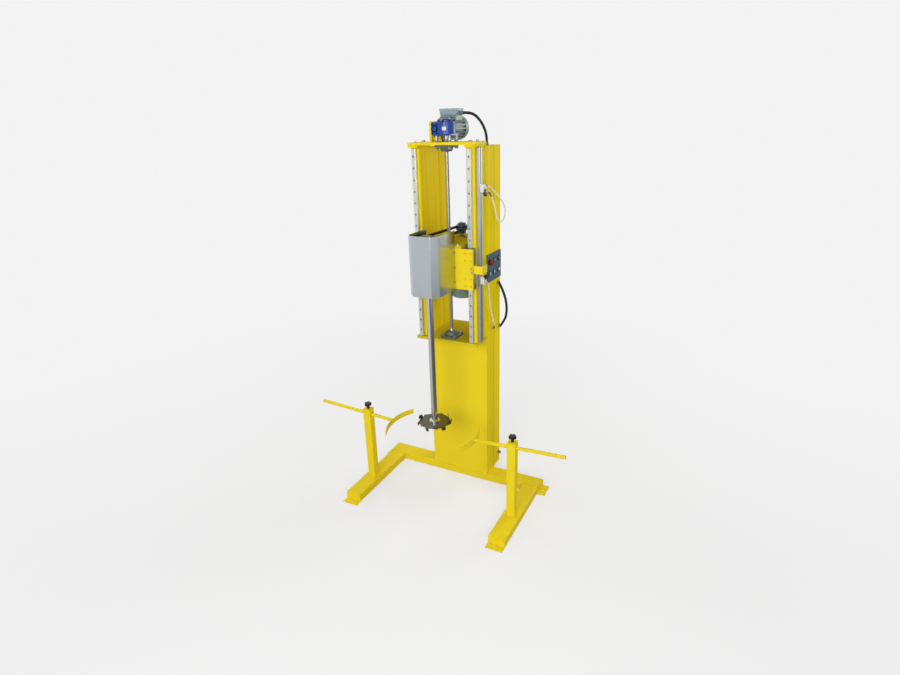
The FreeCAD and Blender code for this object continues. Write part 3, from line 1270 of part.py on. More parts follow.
def right_post():
    """Post on the leg with holes for the clamp rod, and its cap with a welded nut."""
    half = POST_WIDE / 2
    post = box_tube(LEG_CENTRE - half, LEG_CENTRE + half, POST_Y - half, POST_Y + half,
                    FRAME_TOP, POST_TOP, Z_AXIS)
    hole = cylinder(POST_HOLE / 2, Vector(LEG_CENTRE - POST_WIDE, POST_Y, ROD_HEIGHT),
                    Vector(LEG_CENTRE + POST_WIDE, POST_Y, ROD_HEIGHT))
    cap = block(LEG_CENTRE - half, LEG_CENTRE + half, POST_Y - half, POST_Y + half,
                POST_TOP, POST_TOP + POST_CAP_THICK)
    nut = upright(POST_NUT_DIAMETER / 2, LEG_CENTRE, POST_Y, POST_TOP - POST_NUT_TALL, POST_TOP)
    bore = upright(KNOB_STUD_DIAMETER / 2 + FIT, LEG_CENTRE, POST_Y,
                   POST_TOP - POST_NUT_TALL - 1, POST_TOP + POST_CAP_THICK + 1)
    return [post.cut(hole), fused([cap, nut]).cut(bore)]


def clamp(inner, outer):
    """Clamp on the left post: a rod with a curved pad welded on, drooping in loose holes."""
    rod = cylinder(ROD_DIAMETER / 2, Vector(LEG_CENTRE - outer, 0, 0), Vector(LEG_CENTRE - inner + 1, 0, 0))
    face = LEG_CENTRE - inner
    centre = Vector(face + PAD_RADIUS + PAD_THICK, 0, -PAD_TALL / 2)
    half_angle = math.degrees(math.asin(PAD_CHORD / 2 / (PAD_RADIUS + PAD_THICK)))
    start = Vector(-1, 0, 0)
    sector = Part.makeCylinder(PAD_RADIUS + PAD_THICK, PAD_TALL, centre, Z_AXIS, 2 * half_angle)
    sector.rotate(centre, Z_AXIS, 180 - half_angle)
    pad = sector.cut(Part.makeCylinder(PAD_RADIUS, PAD_TALL + 2, centre - Z_AXIS, Z_AXIS))
    whole = fused([rod, pad])
    whole.rotate(Vector(0, 0, 0), start.cross(Z_AXIS), ROD_TILT)
    whole.translate(Vector(-LEG_CENTRE, POST_Y, ROD_HEIGHT))
    return whole


def right_knob():
    """Star knob whose stud presses on the clamp rod."""
    rod_top = ROD_HEIGHT + ROD_DIAMETER / 2 / math.cos(math.radians(ROD_TILT)) + RUNNING_GAP
    under = POST_TOP + POST_CAP_THICK + KNOB_LIFT
    neck_top = under + KNOB_NECK_TALL
    stud = upright(KNOB_STUD_DIAMETER / 2, 0, 0, rod_top, neck_top)
    neck = upright(KNOB_NECK_DIAMETER / 2, 0, 0, under, neck_top)
    core = KNOB_RADIUS - KNOB_LOBE_RADIUS
    head = upright(core + 1, 0, 0, neck_top, neck_top + KNOB_TALL)
    pieces = [stud, neck, head]
    for i in range(KNOB_LOBES):
        angle = 2 * math.pi / KNOB_LOBES * i
        pieces.append(upright(KNOB_LOBE_RADIUS, core * math.cos(angle), core * math.sin(angle),
                              neck_top, neck_top + KNOB_TALL))
    knob = fused(pieces)
    knob.translate(Vector(LEG_CENTRE, POST_Y, 0))
    return knob


# Control box

def on_face(shape, row, column):
    """Place a part drawn about the origin, along Z, at a button's place on the face."""
    middle = (PANEL_FRONT + PANEL_BACK) / 2 - BUTTON_SHIFT
    place = Vector(
        PANEL_FACE, middle + (column - 1) * BUTTON_COLUMN_GAP,
        PANEL_TOP - BUTTON_ROW_TOP - row * BUTTON_ROW_GAP)
    copy = shape.copy()
    copy.Placement = FreeCAD.Placement(place, FreeCAD.Rotation(Z_AXIS, X_AXIS))
    return copy


def button_places():
    """Two rows of three places on the face."""
    return [(row, column) for row in range(2) for column in range(3)]


def control_box():
    """Shallow cover on the column's side, open towards the column."""
    shell = block(SIDE_OUT, PANEL_FACE, PANEL_FRONT, PANEL_BACK, PANEL_BOTTOM, PANEL_TOP)
    shell = shell.makeChamfer(PANEL_EDGE, [edge for edge in shell.Edges if edge.BoundBox.XMin > SIDE_OUT + 1])
    wall = PANEL_WALL + PANEL_EDGE / 2
    room = block(SIDE_OUT - 1, PANEL_FACE - PANEL_WALL, PANEL_FRONT + wall, PANEL_BACK - wall,
                 PANEL_BOTTOM + wall, PANEL_TOP - wall)
    box = shell.cut(room)
    hole = Part.makeCylinder(BUTTON_DIAMETER / 2 + RUNNING_GAP, 3 * PANEL_WALL, Vector(0, 0, -2 * PANEL_WALL))
    for row, column in button_places():
        box = box.cut(on_face(hole, row, column))
    return box


def control_bezels():
    """Ring round each place on the face, and the lamp's lens."""
    bezel = Part.makeCylinder(BEZEL_DIAMETER / 2, BEZEL_TALL).cut(
        Part.makeCylinder(BUTTON_DIAMETER / 2 + RUNNING_GAP, BEZEL_TALL + 2, Vector(0, 0, -1)))
    lens = button(BUTTON_DIAMETER / 2 + RUNNING_GAP)
    return [on_face(bezel, row, column) for row, column in button_places()] + [on_face(lens, 1, 2)]


def button(radius):
    """Flat button cap with a softened edge, about the origin."""
    return turned([
        (0, -BUTTON_DEEP),
        (radius, -BUTTON_DEEP),
        (radius, BUTTON_PROUD - 1),
        (radius - 1, BUTTON_PROUD),
        (0, BUTTON_PROUD),
    ], 0, 0)


def mushroom():
    """Emergency stop with its wide domed head, about the origin."""
    guide = BUTTON_DIAMETER / 2
    stem = MUSHROOM_DIAMETER / 4
    head = MUSHROOM_DIAMETER / 2
    return turned([
        (0, -BUTTON_DEEP),
        (guide, -BUTTON_DEEP),
        (guide, BEZEL_TALL),
        (stem, BEZEL_TALL),
        (stem, MUSHROOM_LIFT),
        (head, MUSHROOM_LIFT),
        (head, MUSHROOM_LIFT + MUSHROOM_TALL / 2),
        (0.7 * head, MUSHROOM_LIFT + MUSHROOM_TALL),
        (0, MUSHROOM_LIFT + MUSHROOM_TALL),
    ], 0, 0)


# Cords

LIFT_CONDUIT_ROUTE = [
    (32, 620, 2200), (66, 620, 2200), (102, 622, 2185), (132, 624, 2152), (152, 625, 2115),
    (162, 625, 2078), (162, 625, 2050),
]
PANEL_CONDUIT_ROUTE = [
    (199, 708, 1272), (212, 718, 1238), (222, 736, 1192), (229, 752, 1140), (230, 758, 1084),
    (222, 752, 1030), (199, 733, 995),
]
UPPER_CABLE_ROUTE = [
    (211, 491, 1846), (215, 532, 1838), (223, 590, 1802), (232, 658, 1752), (236, 698, 1715),
    (237, 706, 1688), (237, 700, 1661), (236, 681, 1640), (234, 655, 1631), (232, 627, 1637),
    (229, 606, 1655), (225, 590, 1700), (220, 582, 1750), (198, 579, 1796),
]
LOWER_CABLE_ROUTE = [
    (211, 491, 1334), (211, 516, 1324), (210, 534, 1282), (205, 553, 1224), (204, 570, 1152),
    (207, 596, 1086), (209, 620, 1038), (198, 636, 1012),
]


def cord(route, diameter, name):
    """Tube of straight runs joined by tangent arcs, along a route chosen by hand."""
    points = [Vector(*p) for p in route]
    edges = []
    radii = []
    start = points[0]
    for before, corner, after in zip(points, points[1:], points[2:]):
        back = (before - corner).normalize()
        ahead = (after - corner).normalize()
        half_turn = (math.pi - back.getAngle(ahead)) / 2
        reach = 0.45 * min((before - corner).Length, (after - corner).Length)
        radius = reach / math.tan(half_turn)
        entry = corner + back * reach
        leave = corner + ahead * reach
        inward = (back + ahead).normalize()
        middle = corner + inward * (radius / math.cos(half_turn) - radius)
        edges.append(Part.LineSegment(start, entry).toShape())
        edges.append(Part.Arc(entry, middle, leave).toShape())
        start = leave
        radii.append(round(radius))
    edges.append(Part.LineSegment(start, points[-1]).toShape())
    path = Part.Wire(edges)
    mouth = Part.Wire(Part.makeCircle(diameter / 2, points[0], points[1] - points[0]))
    tube = path.makePipeShell([mouth], True, False)
    ideal = math.pi * diameter ** 2 / 4 * path.Length
    print(name, "length", round(path.Length), "radii", radii, "volume share", round(tube.Volume / ideal, 4))
    return tube


def gland(diameter, long, seat, out):
    """Cable gland: a hexagon and a round nut standing out from its seat."""
    body = hexagon(1.25 * diameter, 0, 0, 0, 0.5 * long)
    piece = fused([body, upright(0.6 * diameter, 0, 0, 0, long)])
    piece.Placement = FreeCAD.Placement(Vector(*seat), FreeCAD.Rotation(Z_AXIS, out))
    return piece


def cable_glands():
    """Glands where the cords leave or enter, and the bare inlet for the supply lead."""
    lid_edge = WORM_X + LIFT_BOX_WIDE / 2
    conduit = CONDUIT_DIAMETER
    cable = SWITCH_CABLE_DIAMETER
    upper = UPPER_CABLE_ROUTE
    lower = LOWER_CABLE_ROUTE
    panel = PANEL_CONDUIT_ROUTE
    lift = LIFT_CONDUIT_ROUTE
    return [
        gland(conduit, lift[0][0] - lid_edge, (lid_edge, lift[0][1], lift[0][2]), X_AXIS),
        gland(conduit, lift[-1][2] - COLUMN_TOP, (lift[-1][0], lift[-1][1], COLUMN_TOP), Z_AXIS),
        gland(conduit, 12, (SIDE_OUT, panel[0][1], panel[0][2]), X_AXIS),
        gland(conduit, 12, (SIDE_OUT, panel[-1][1], panel[-1][2]), X_AXIS),
        gland(cable, upper[0][1] - PROFILE_BACK, (upper[0][0], PROFILE_BACK, upper[0][2]), Y_AXIS),
        gland(cable, 11, (SIDE_OUT, upper[-1][1], upper[-1][2]), X_AXIS),
        gland(cable, lower[0][1] - PROFILE_BACK, (lower[0][0], PROFILE_BACK, lower[0][2]), Y_AXIS),
        gland(cable, 11, (SIDE_OUT, lower[-1][1], lower[-1][2]), X_AXIS),
        gland(conduit, 16, (SIDE_OUT, COLUMN_BACK - TUBE_NARROW / 2, 2 * FRAME_TOP + conduit), X_AXIS),
    ]


def main():
    """Build every node and write it."""
    os.makedirs("parts", exist_ok=True)
    leg = right_leg()
    tubes = right_column_tubes()
    bar = right_rail_bar()
    post = right_post()
    knob = right_knob()
    cap = button(BUTTON_DIAMETER / 2)
    left_clamp = clamp(LEFT_ROD_INNER, LEFT_ROD_OUTER)
    right_clamp = mirrored(clamp(RIGHT_ROD_INNER, RIGHT_ROD_OUTER))
    nodes = {
        "base_cross_beam": [cross_beam()],
        "right_leg": [leg],
        "left_leg": [mirrored(leg)],
        "anchor_angles": anchor_angles(),
        "right_column_tubes": tubes,
        "left_column_tubes": [mirrored(t) for t in tubes],
        "column_plates": column_plates(),
        "column_shelf": [shelf()],
        "right_rail_bar": [bar],
        "left_rail_bar": [mirrored(bar)],
        "top_plate": [top_plate()],
        "gearbox_standoffs": gearbox_standoffs(),
        "linear_rails": linear_rails(),
        "linear_blocks": linear_blocks(),
        "screw_bearings": screw_bearings(),
        "lift_screw": [lift_screw()],
        "lift_nut": [lift_nut()],
        "gearbox_housing": [gearbox_housing()],
        "gearbox_bracket": [gearbox_bracket()],
        "worm_wheel": [worm_wheel()],
        "worm_shaft": [worm_shaft()],
        "lift_motor_body": lift_motor_body(),
        "lift_terminal_box": lift_terminal_box(),
        "carriage_plate": [carriage_plate()],
        "motor_plate": [motor_plate()],
        "switch_dog": [switch_dog()],
        "main_motor_body": [main_motor_body()],
        "main_motor_box": main_motor_box(),
        "main_motor_cowl": [main_motor_cowl()],
        "motor_shaft": motor_shaft(),
        "motor_pulley": [motor_pulley()],
        "spindle_pulley": [spindle_pulley()],
        "drive_belt": [drive_belt()],
        "spindle_housing": spindle_housing(),
        "spindle_bearings": spindle_bearings(),
        "mixing_shaft": mixing_shaft(),
        "mixing_disc": mixing_disc(),
        "belt_guard": [belt_guard()],
        "switch_profile": [switch_profile()],
        "limit_switches": limit_switches(),
        "upper_switch_lever": switch_lever(UPPER_ROLLER_HEIGHT, 1),
        "lower_switch_lever": switch_lever(LOWER_ROLLER_HEIGHT, -1),
        "right_post": post,
        "left_post": [mirrored(p) for p in post],
        "left_clamp": [left_clamp],
        "right_clamp": [right_clamp],
        "right_knob": [knob],
        "left_knob": [mirrored(knob)],
        "control_box": [control_box()],
        "control_bezels": control_bezels(),
        "start_button": [on_face(cap, 0, 1)],
        "stop_button": [on_face(cap, 0, 2)],
        "raise_button": [on_face(cap, 1, 0)],
        "lower_button": [on_face(cap, 1, 1)],
        "emergency_stop": [on_face(mushroom(), 0, 0)],
        "lift_motor_conduit": [cord(LIFT_CONDUIT_ROUTE, CONDUIT_DIAMETER, "lift motor conduit")],
        "panel_conduit": [cord(PANEL_CONDUIT_ROUTE, CONDUIT_DIAMETER, "panel conduit")],
        "upper_switch_cable": [cord(UPPER_CABLE_ROUTE, SWITCH_CABLE_DIAMETER, "upper switch cable")],
        "lower_switch_cable": [cord(LOWER_CABLE_ROUTE, SWITCH_CABLE_DIAMETER, "lower switch cable")],
        "cable_glands": cable_glands(),
    }
    facets = 0
    for name, shapes in nodes.items():
        save(name, shapes)
        for shape in shapes:
            facets += len(shape.tessellate(0.5)[1])
            if not shape.isValid():
                print("not valid:", name)
    print(len(nodes), "nodes,", facets, "facets")


main()
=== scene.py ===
"""Dress of a high-speed mixer for paint in drums: finishes, fasteners, cords, floor, light and camera."""
import logging
import math
from abc import ABC, abstractmethod
from dataclasses import dataclass
from enum import Enum
from typing import Callable, ClassVar, Optional, Sequence, Union

import bmesh
import bpy
from mathutils import Matrix, Vector


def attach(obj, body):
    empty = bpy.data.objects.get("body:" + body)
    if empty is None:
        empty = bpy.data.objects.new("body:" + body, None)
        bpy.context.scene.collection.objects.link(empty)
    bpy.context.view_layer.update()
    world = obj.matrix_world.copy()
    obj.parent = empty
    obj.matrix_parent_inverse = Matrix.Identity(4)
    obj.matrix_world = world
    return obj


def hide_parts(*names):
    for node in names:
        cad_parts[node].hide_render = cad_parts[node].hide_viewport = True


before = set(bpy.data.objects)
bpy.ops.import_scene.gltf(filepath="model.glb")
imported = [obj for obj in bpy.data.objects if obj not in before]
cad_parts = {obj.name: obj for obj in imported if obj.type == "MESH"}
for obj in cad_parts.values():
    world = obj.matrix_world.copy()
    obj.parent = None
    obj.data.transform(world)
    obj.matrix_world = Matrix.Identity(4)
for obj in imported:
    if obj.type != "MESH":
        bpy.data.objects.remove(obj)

log = logging.getLogger("mixer")
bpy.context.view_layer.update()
MM = 0.001
MERGE = 1e-6
SIDES = (-1, 1)

Pair = tuple[float, float]
Triple = tuple[float, float, float]
Piece = bpy.types.Object
Socket = bpy.types.NodeSocket
Value = Union[Socket, float, Sequence[float]]
Outputs = bpy.types.bpy_prop_collection
Place = tuple[Triple, Triple]

ORIGIN: Triple = (0.0, 0.0, 0.0)
UP: Triple = (0.0, 0.0, 1.0)
DOWN: Triple = (0.0, 0.0, -1.0)
FRONT: Triple = (0.0, -1.0, 0.0)
BACK: Triple = (0.0, 1.0, 0.0)
RIGHT: Triple = (1.0, 0.0, 0.0)


def linear(colour: Triple) -> tuple[float, float, float, float]:
    """Turn a screen colour, each value from 0 to 1, into linear light with full opacity."""
    red, green, blue = (c / 12.92 if c <= 0.04045 else ((c + 0.055) / 1.055) ** 2.4 for c in colour)
    return red, green, blue, 1.0


class Nodes:
    """Short ways to add and join the nodes of one tree."""

    def __init__(self, tree: bpy.types.NodeTree, output: str) -> None:
        """Empty the tree and add its output node.

        Args:
            tree: the nodes of a material or of the world.
            output: the output node's type.
        """
        self.nodes, self.links = tree.nodes, tree.links
        self.nodes.clear()
        self.output = self.nodes.new(output)

    def put(self, socket: Socket, value: Value) -> None:
        """Give an input either a link or a plain value.

        Args:
            socket: the input.
            value: another node's output, or the value itself.
        """
        if isinstance(value, bpy.types.NodeSocket):
            self.links.new(value, socket)
        else:
            socket.default_value = value

    def add(
            self, kind: str, inputs: dict[Union[int, str], Value], result: Union[int, str] = 0,
            **settings: Union[str, int]) -> Socket:
        """Add a node.

        Args:
            kind: its type, without the first word that all types share.
            inputs: a link or a plain value for each input that is set.
            result: the output that is wanted.
            settings: the node's own fields.

        Returns:
            That output.
        """
        node = self.nodes.new("ShaderNode" + kind)
        for name, value in settings.items():
            setattr(node, name, value)
        for key, value in inputs.items():
            self.put(node.inputs[key], value)
        return node.outputs[result]

    def show(self, shader: Socket) -> None:
        """Join a shader to the output node."""
        self.links.new(shader, self.output.inputs["Surface"])

    def maths(self, operation: str, first: Value, second: Value = 0.0) -> Socket:
        """Result of one arithmetic step."""
        return self.add("Math", {0: first, 1: second}, operation=operation)

    def span(self, source: Socket, low: float, high: float, start: float = 0.0, end: float = 1.0) -> Socket:
        """Map the range from start to end onto the one from low to high, and stop at its ends."""
        ends = {"From Min": start, "From Max": end, "To Min": low, "To Max": high}
        return self.add("MapRange", {"Value": source, **ends}, "Result")

    def axes(self, vector: Socket) -> Outputs:
        """Split a vector into its three values."""
        return self.add("SeparateXYZ", {0: vector}).node.outputs

    def rays(self) -> Outputs:
        """Tell kinds of light ray apart."""
        return self.nodes.new("ShaderNodeLightPath").outputs

    def mixed(self, share: Socket, one: Socket, other: Socket) -> Socket:
        """Mix two shaders by a value."""
        return self.add("MixShader", {0: share, 1: one, 2: other})


class Graph(Nodes):
    """Shader nodes of one finish, on Object coordinates in metres, so a scale of 100 means centimetres."""

    def __init__(self, name: str) -> None:
        """Start a material with a bare Principled shader.

        Args:
            name: the material's name.
        """
        self.material = bpy.data.materials.new(name)
        self.material.use_nodes = True
        super().__init__(self.material.node_tree, "ShaderNodeOutputMaterial")
        self.shader = self.nodes.new("ShaderNodeBsdfPrincipled")
        self.show(self.shader.outputs["BSDF"])
        self.place = self.add("TexCoord", {}, "Object")

    def surface(self, **values: Value) -> None:
        """Set or feed the shader's sockets, named with underscores for spaces."""
        for name, value in values.items():
            self.put(self.shader.inputs[name.replace("_", " ")], value)

    def stretched(self, scale: Triple, turn: Triple = ORIGIN, shift: Triple = ORIGIN) -> Socket:
        """Scale the coordinates, turn them by degrees about each axis, and shift them."""
        angles = [math.radians(a) for a in turn]
        return self.add("Mapping", {"Vector": self.place, "Scale": scale, "Rotation": angles, "Location": shift})

    def around(self, centre: Triple, scale: Triple) -> Socket:
        """Coordinates of radius, angle and height about an upright axis.

        Args:
            centre: a point of the axis.
            scale: factors for radius, angle and height.

        Returns:
            The coordinates, in which a ring round the axis is one line.
        """
        x, y, z = self.axes(self.stretched((1, 1, 1), shift=(-centre[0], -centre[1], -centre[2])))
        radius = self.maths("SQRT", self.maths("ADD", self.maths("MULTIPLY", x, x), self.maths("MULTIPLY", y, y)))
        parts = zip((radius, self.maths("ARCTAN2", y, x), z), scale)
        return self.add("CombineXYZ", {i: self.maths("MULTIPLY", *part) for i, part in enumerate(parts)})

    def noise(self, scale: float, detail: float = 3.0, rough: float = 0.5, place: Optional[Socket] = None) -> Socket:
        """Cloudy pattern between 0 and 1."""
        inputs = {"Vector": place or self.place, "Scale": scale, "Detail": detail, "Roughness": rough}
        return self.add("TexNoise", inputs, "Fac")

    def cells(self, scale: float) -> Socket:
        """Distance to the nearest of scattered points."""
        return self.add("TexVoronoi", {"Vector": self.place, "Scale": scale}, "Distance")

    def waves(self, scale: float, distortion: float, place: Socket) -> Socket:
        """Parallel bands across X."""
        inputs = {"Vector": place, "Scale": scale, "Distortion": distortion}
        return self.add("TexWave", inputs, "Fac", bands_direction="X")

    def blended(self, share: Socket, low: Union[Socket, Triple], high: Union[Socket, Triple]) -> Socket:
        """Mix two colours, each a link or a screen colour, by a value."""
        low, high = (c if isinstance(c, bpy.types.NodeSocket) else linear(c) for c in (low, high))
        return self.add("Mix", {0: share, 6: low, 7: high}, 2, data_type="RGBA")

    def softened(self, radius: float) -> Socket:
        """Normal that rounds sharp edges."""
        return self.add("Bevel", {"Radius": radius}, "Normal", samples=4)

    def edges(self, rounded: Socket, start: float, end: float) -> Socket:
        """Mask of the sharp edges.

        Args:
            rounded: the rounded normal.
            start: how far it has left the real one where the mask starts.
            end: how far it has left it where the mask is full.

        Returns:
            The mask, 1 at the edges.
        """
        normals = {0: rounded, 1: self.add("NewGeometry", {}, "Normal")}
        likeness = self.add("VectorMath", normals, "Value", operation="DOT_PRODUCT")
        return self.span(likeness, 1.0, 0.0, 1.0 - end, 1.0 - start)

    def bumped(self, height: Socket, distance: float, strength: float = 1.0, under: Optional[Socket] = None) -> Socket:
        """Relief of a given depth in metres, laid on another normal where there is one."""
        base = {"Normal": under} if under is not None else {}
        return self.add("Bump", {"Height": height, "Distance": distance, "Strength": strength, **base}, "Normal")


@dataclass(frozen=True)
class Finish(ABC):
    """A surface finish, made as a material when it is first used."""

    name: str
    colour: Triple

    def tone(self, share: float) -> Triple:
        """Return the colour made darker or lighter, kept between 0 and 1."""
        return tuple(min(1.0, max(0.0, c * share)) for c in self.colour)

    def material(self) -> bpy.types.Material:
        """Find this finish's material, or make it.

        Returns:
            The material, the same one each time.
        """
        title = "finish_" + self.name
        if title not in bpy.data.materials:
            graph = Graph(title)
            self.lay(graph)
            graph.material.diffuse_color = linear(self.colour)
        return bpy.data.materials[title]

    @abstractmethod
    def lay(self, graph: Graph) -> None:
        """Draw the finish in a graph."""


@dataclass(frozen=True)
class Enamel(Finish):
    """Sprayed paint with orange peel, slight clouds and worn edges."""

    roughness: float = 0.44
    peel: float = 0.00005
    grain: float = 260.0
    coat: float = 0.02
    gloss: float = 0.08
    cloud: float = 0.02
    run: float = 0.0
    edge: float = 0.0016
    wear: Triple = (0.42, 0.4, 0.36)
    draw_lines: ClassVar[Triple] = (46.0, 46.0, 0.4)

    def lay(self, graph: Graph) -> None:
        """Draw the paint, and under it the lines of a drawn tube where it has them.

        Args:
            graph: the material's nodes.
        """
        clouds = graph.noise(5.0, 3.0, 0.55)
        specks = graph.noise(70.0, 4.0, 0.6)
        base = graph.blended(clouds, self.tone(1.0 - self.cloud), self.tone(1.0 + self.cloud / 2))
        if self.run:
            lines = graph.noise(1.0, 2.0, 0.6, graph.stretched(self.draw_lines))
            base = graph.blended(graph.span(lines, 0.0, 1.0, 0.42, 0.62), self.tone(1.0 - self.run), base)
        grimy = graph.blended(graph.span(specks, 0.0, 0.12, 0.64, 0.8), base, self.tone(0.8))
        rounded = graph.softened(self.edge)
        chips = graph.maths("MULTIPLY", graph.edges(rounded, 0.12, 0.26), graph.span(specks, 0.0, 1.0, 0.56, 0.63))
        peel = graph.bumped(graph.noise(self.grain, 2.0, 0.4), self.peel, 0.7, rounded)
        graph.surface(
            Base_Color=graph.blended(graph.maths("MULTIPLY", chips, 0.8), grimy, self.wear),
            Roughness=graph.span(clouds, self.roughness - 0.05, self.roughness + 0.08, 0.3, 0.7),
            Normal=graph.bumped(chips, 0.0001, 0.4, peel),
            Coat_Weight=self.coat, Coat_Roughness=0.12, Specular_IOR_Level=self.gloss)


@dataclass(frozen=True)
class Casting(Finish):
    """Paint over a rough casting, with pits, and lighter flecks where its grit stands high."""

    roughness: float = 0.42
    grit: float = 0.00022
    edge: float = 0.0014

    def lay(self, graph: Graph) -> None:
        """Draw the painted casting.

        Args:
            graph: the material's nodes.
        """
        sand = graph.noise(430.0, 4.0, 0.65)
        base = graph.blended(graph.noise(14.0, 4.0, 0.6), self.tone(0.86), self.tone(1.08))
        pits = graph.span(graph.cells(160.0), 0.0, 1.0, 0.0, 0.2)
        rough = graph.bumped(sand, self.grit, 0.6, graph.softened(self.edge))
        graph.surface(
            Base_Color=graph.blended(graph.span(sand, 0.0, 0.25, 0.55, 0.8), base, self.tone(1.3)),
            Roughness=graph.span(sand, self.roughness - 0.08, self.roughness + 0.14, 0.3, 0.7),
            Normal=graph.bumped(pits, 0.0002, 0.25, rough), Coat_Weight=0.15, Coat_Roughness=0.2)


@dataclass(frozen=True)
class BrushedMetal(Finish):
    """Bare metal with fine lines from brushing, drawing, grinding, or turning about a centre."""

    grain: Triple = (4.0, 4.0, 900.0)
    roughness: float = 0.3
    depth: float = 0.00002
    stain: float = 0.1
    streak: float = 0.35
    swing: float = 0.09
    edge: float = 0.0008
    centre: Optional[Triple] = None
    finest: ClassVar[float] = 0.03

    def lay(self, graph: Graph) -> None:
        """Draw the metal.

        Args:
            graph: the material's nodes.
        """
        along = graph.around(self.centre, self.grain) if self.centre else graph.stretched(self.grain)
        lines = graph.noise(1.0, 5.0, 0.65, along)
        smears = graph.span(graph.noise(38.0, 3.0, 0.6), 0.0, 1.0, 0.5, 0.75)
        base = graph.blended(graph.noise(11.0, 4.0, 0.6), self.tone(1.0 - self.stain), self.tone(1.0 + self.stain / 2))
        low, high = max(self.finest, self.roughness - self.swing), self.roughness + self.swing
        polish = graph.span(lines, low, high, 0.25, 0.75)
        graph.surface(
            Base_Color=graph.blended(graph.maths("MULTIPLY", lines, self.streak), base, self.tone(0.72)),
            Roughness=graph.maths("ADD", polish, graph.maths("MULTIPLY", smears, self.swing / 2)),
            Normal=graph.bumped(lines, self.depth, 0.5, graph.softened(self.edge)), Metallic=1.0)


@dataclass(frozen=True)
class Plastic(Finish):
    """Moulded plastic with a fine eroded texture."""

    roughness: float = 0.42
    stipple: float = 0.00003
    grain: float = 1300.0
    gloss: float = 0.0

    def lay(self, graph: Graph) -> None:
        """Draw the plastic with its scuffs.

        Args:
            graph: the material's nodes.
        """
        clouds = graph.noise(22.0, 3.0, 0.5)
        scuffs = graph.span(graph.noise(1.0, 4.0, 0.7, graph.stretched((60.0, 60.0, 320.0))), 0.0, 0.3, 0.62, 0.75)
        base = graph.blended(clouds, self.tone(0.92), self.tone(1.06))
        graph.surface(
            Base_Color=graph.blended(scuffs, base, tuple(min(1.0, c + 0.12) for c in self.colour)),
            Roughness=graph.span(clouds, self.roughness - 0.05, self.roughness + 0.07, 0.3, 0.7),
            Normal=graph.bumped(graph.noise(self.grain, 2.0, 0.5), self.stipple, 0.6, graph.softened(0.0006)),
            Coat_Weight=self.gloss, Coat_Roughness=0.08)


@dataclass(frozen=True)
class WovenRubber(Finish):
    """Rubber with the weave of its cloth cover."""

    threads: float = 260.0

    def lay(self, graph: Graph) -> None:
        """Draw the rubber.

        Args:
            graph: the material's nodes.
        """
        ways = [graph.stretched((1, 1, 1), turn=(angle, 0.0, angle)) for angle in (45.0, -45.0)]
        weave = graph.maths("MAXIMUM", *(graph.waves(self.threads, 0.4, way) for way in ways))
        worn = graph.noise(30.0, 4.0, 0.6)
        graph.surface(
            Base_Color=graph.blended(graph.maths("MULTIPLY", worn, weave), self.colour, self.tone(2.2)),
            Roughness=graph.span(worn, 0.62, 0.85), Normal=graph.bumped(weave, 0.0002, 0.5))


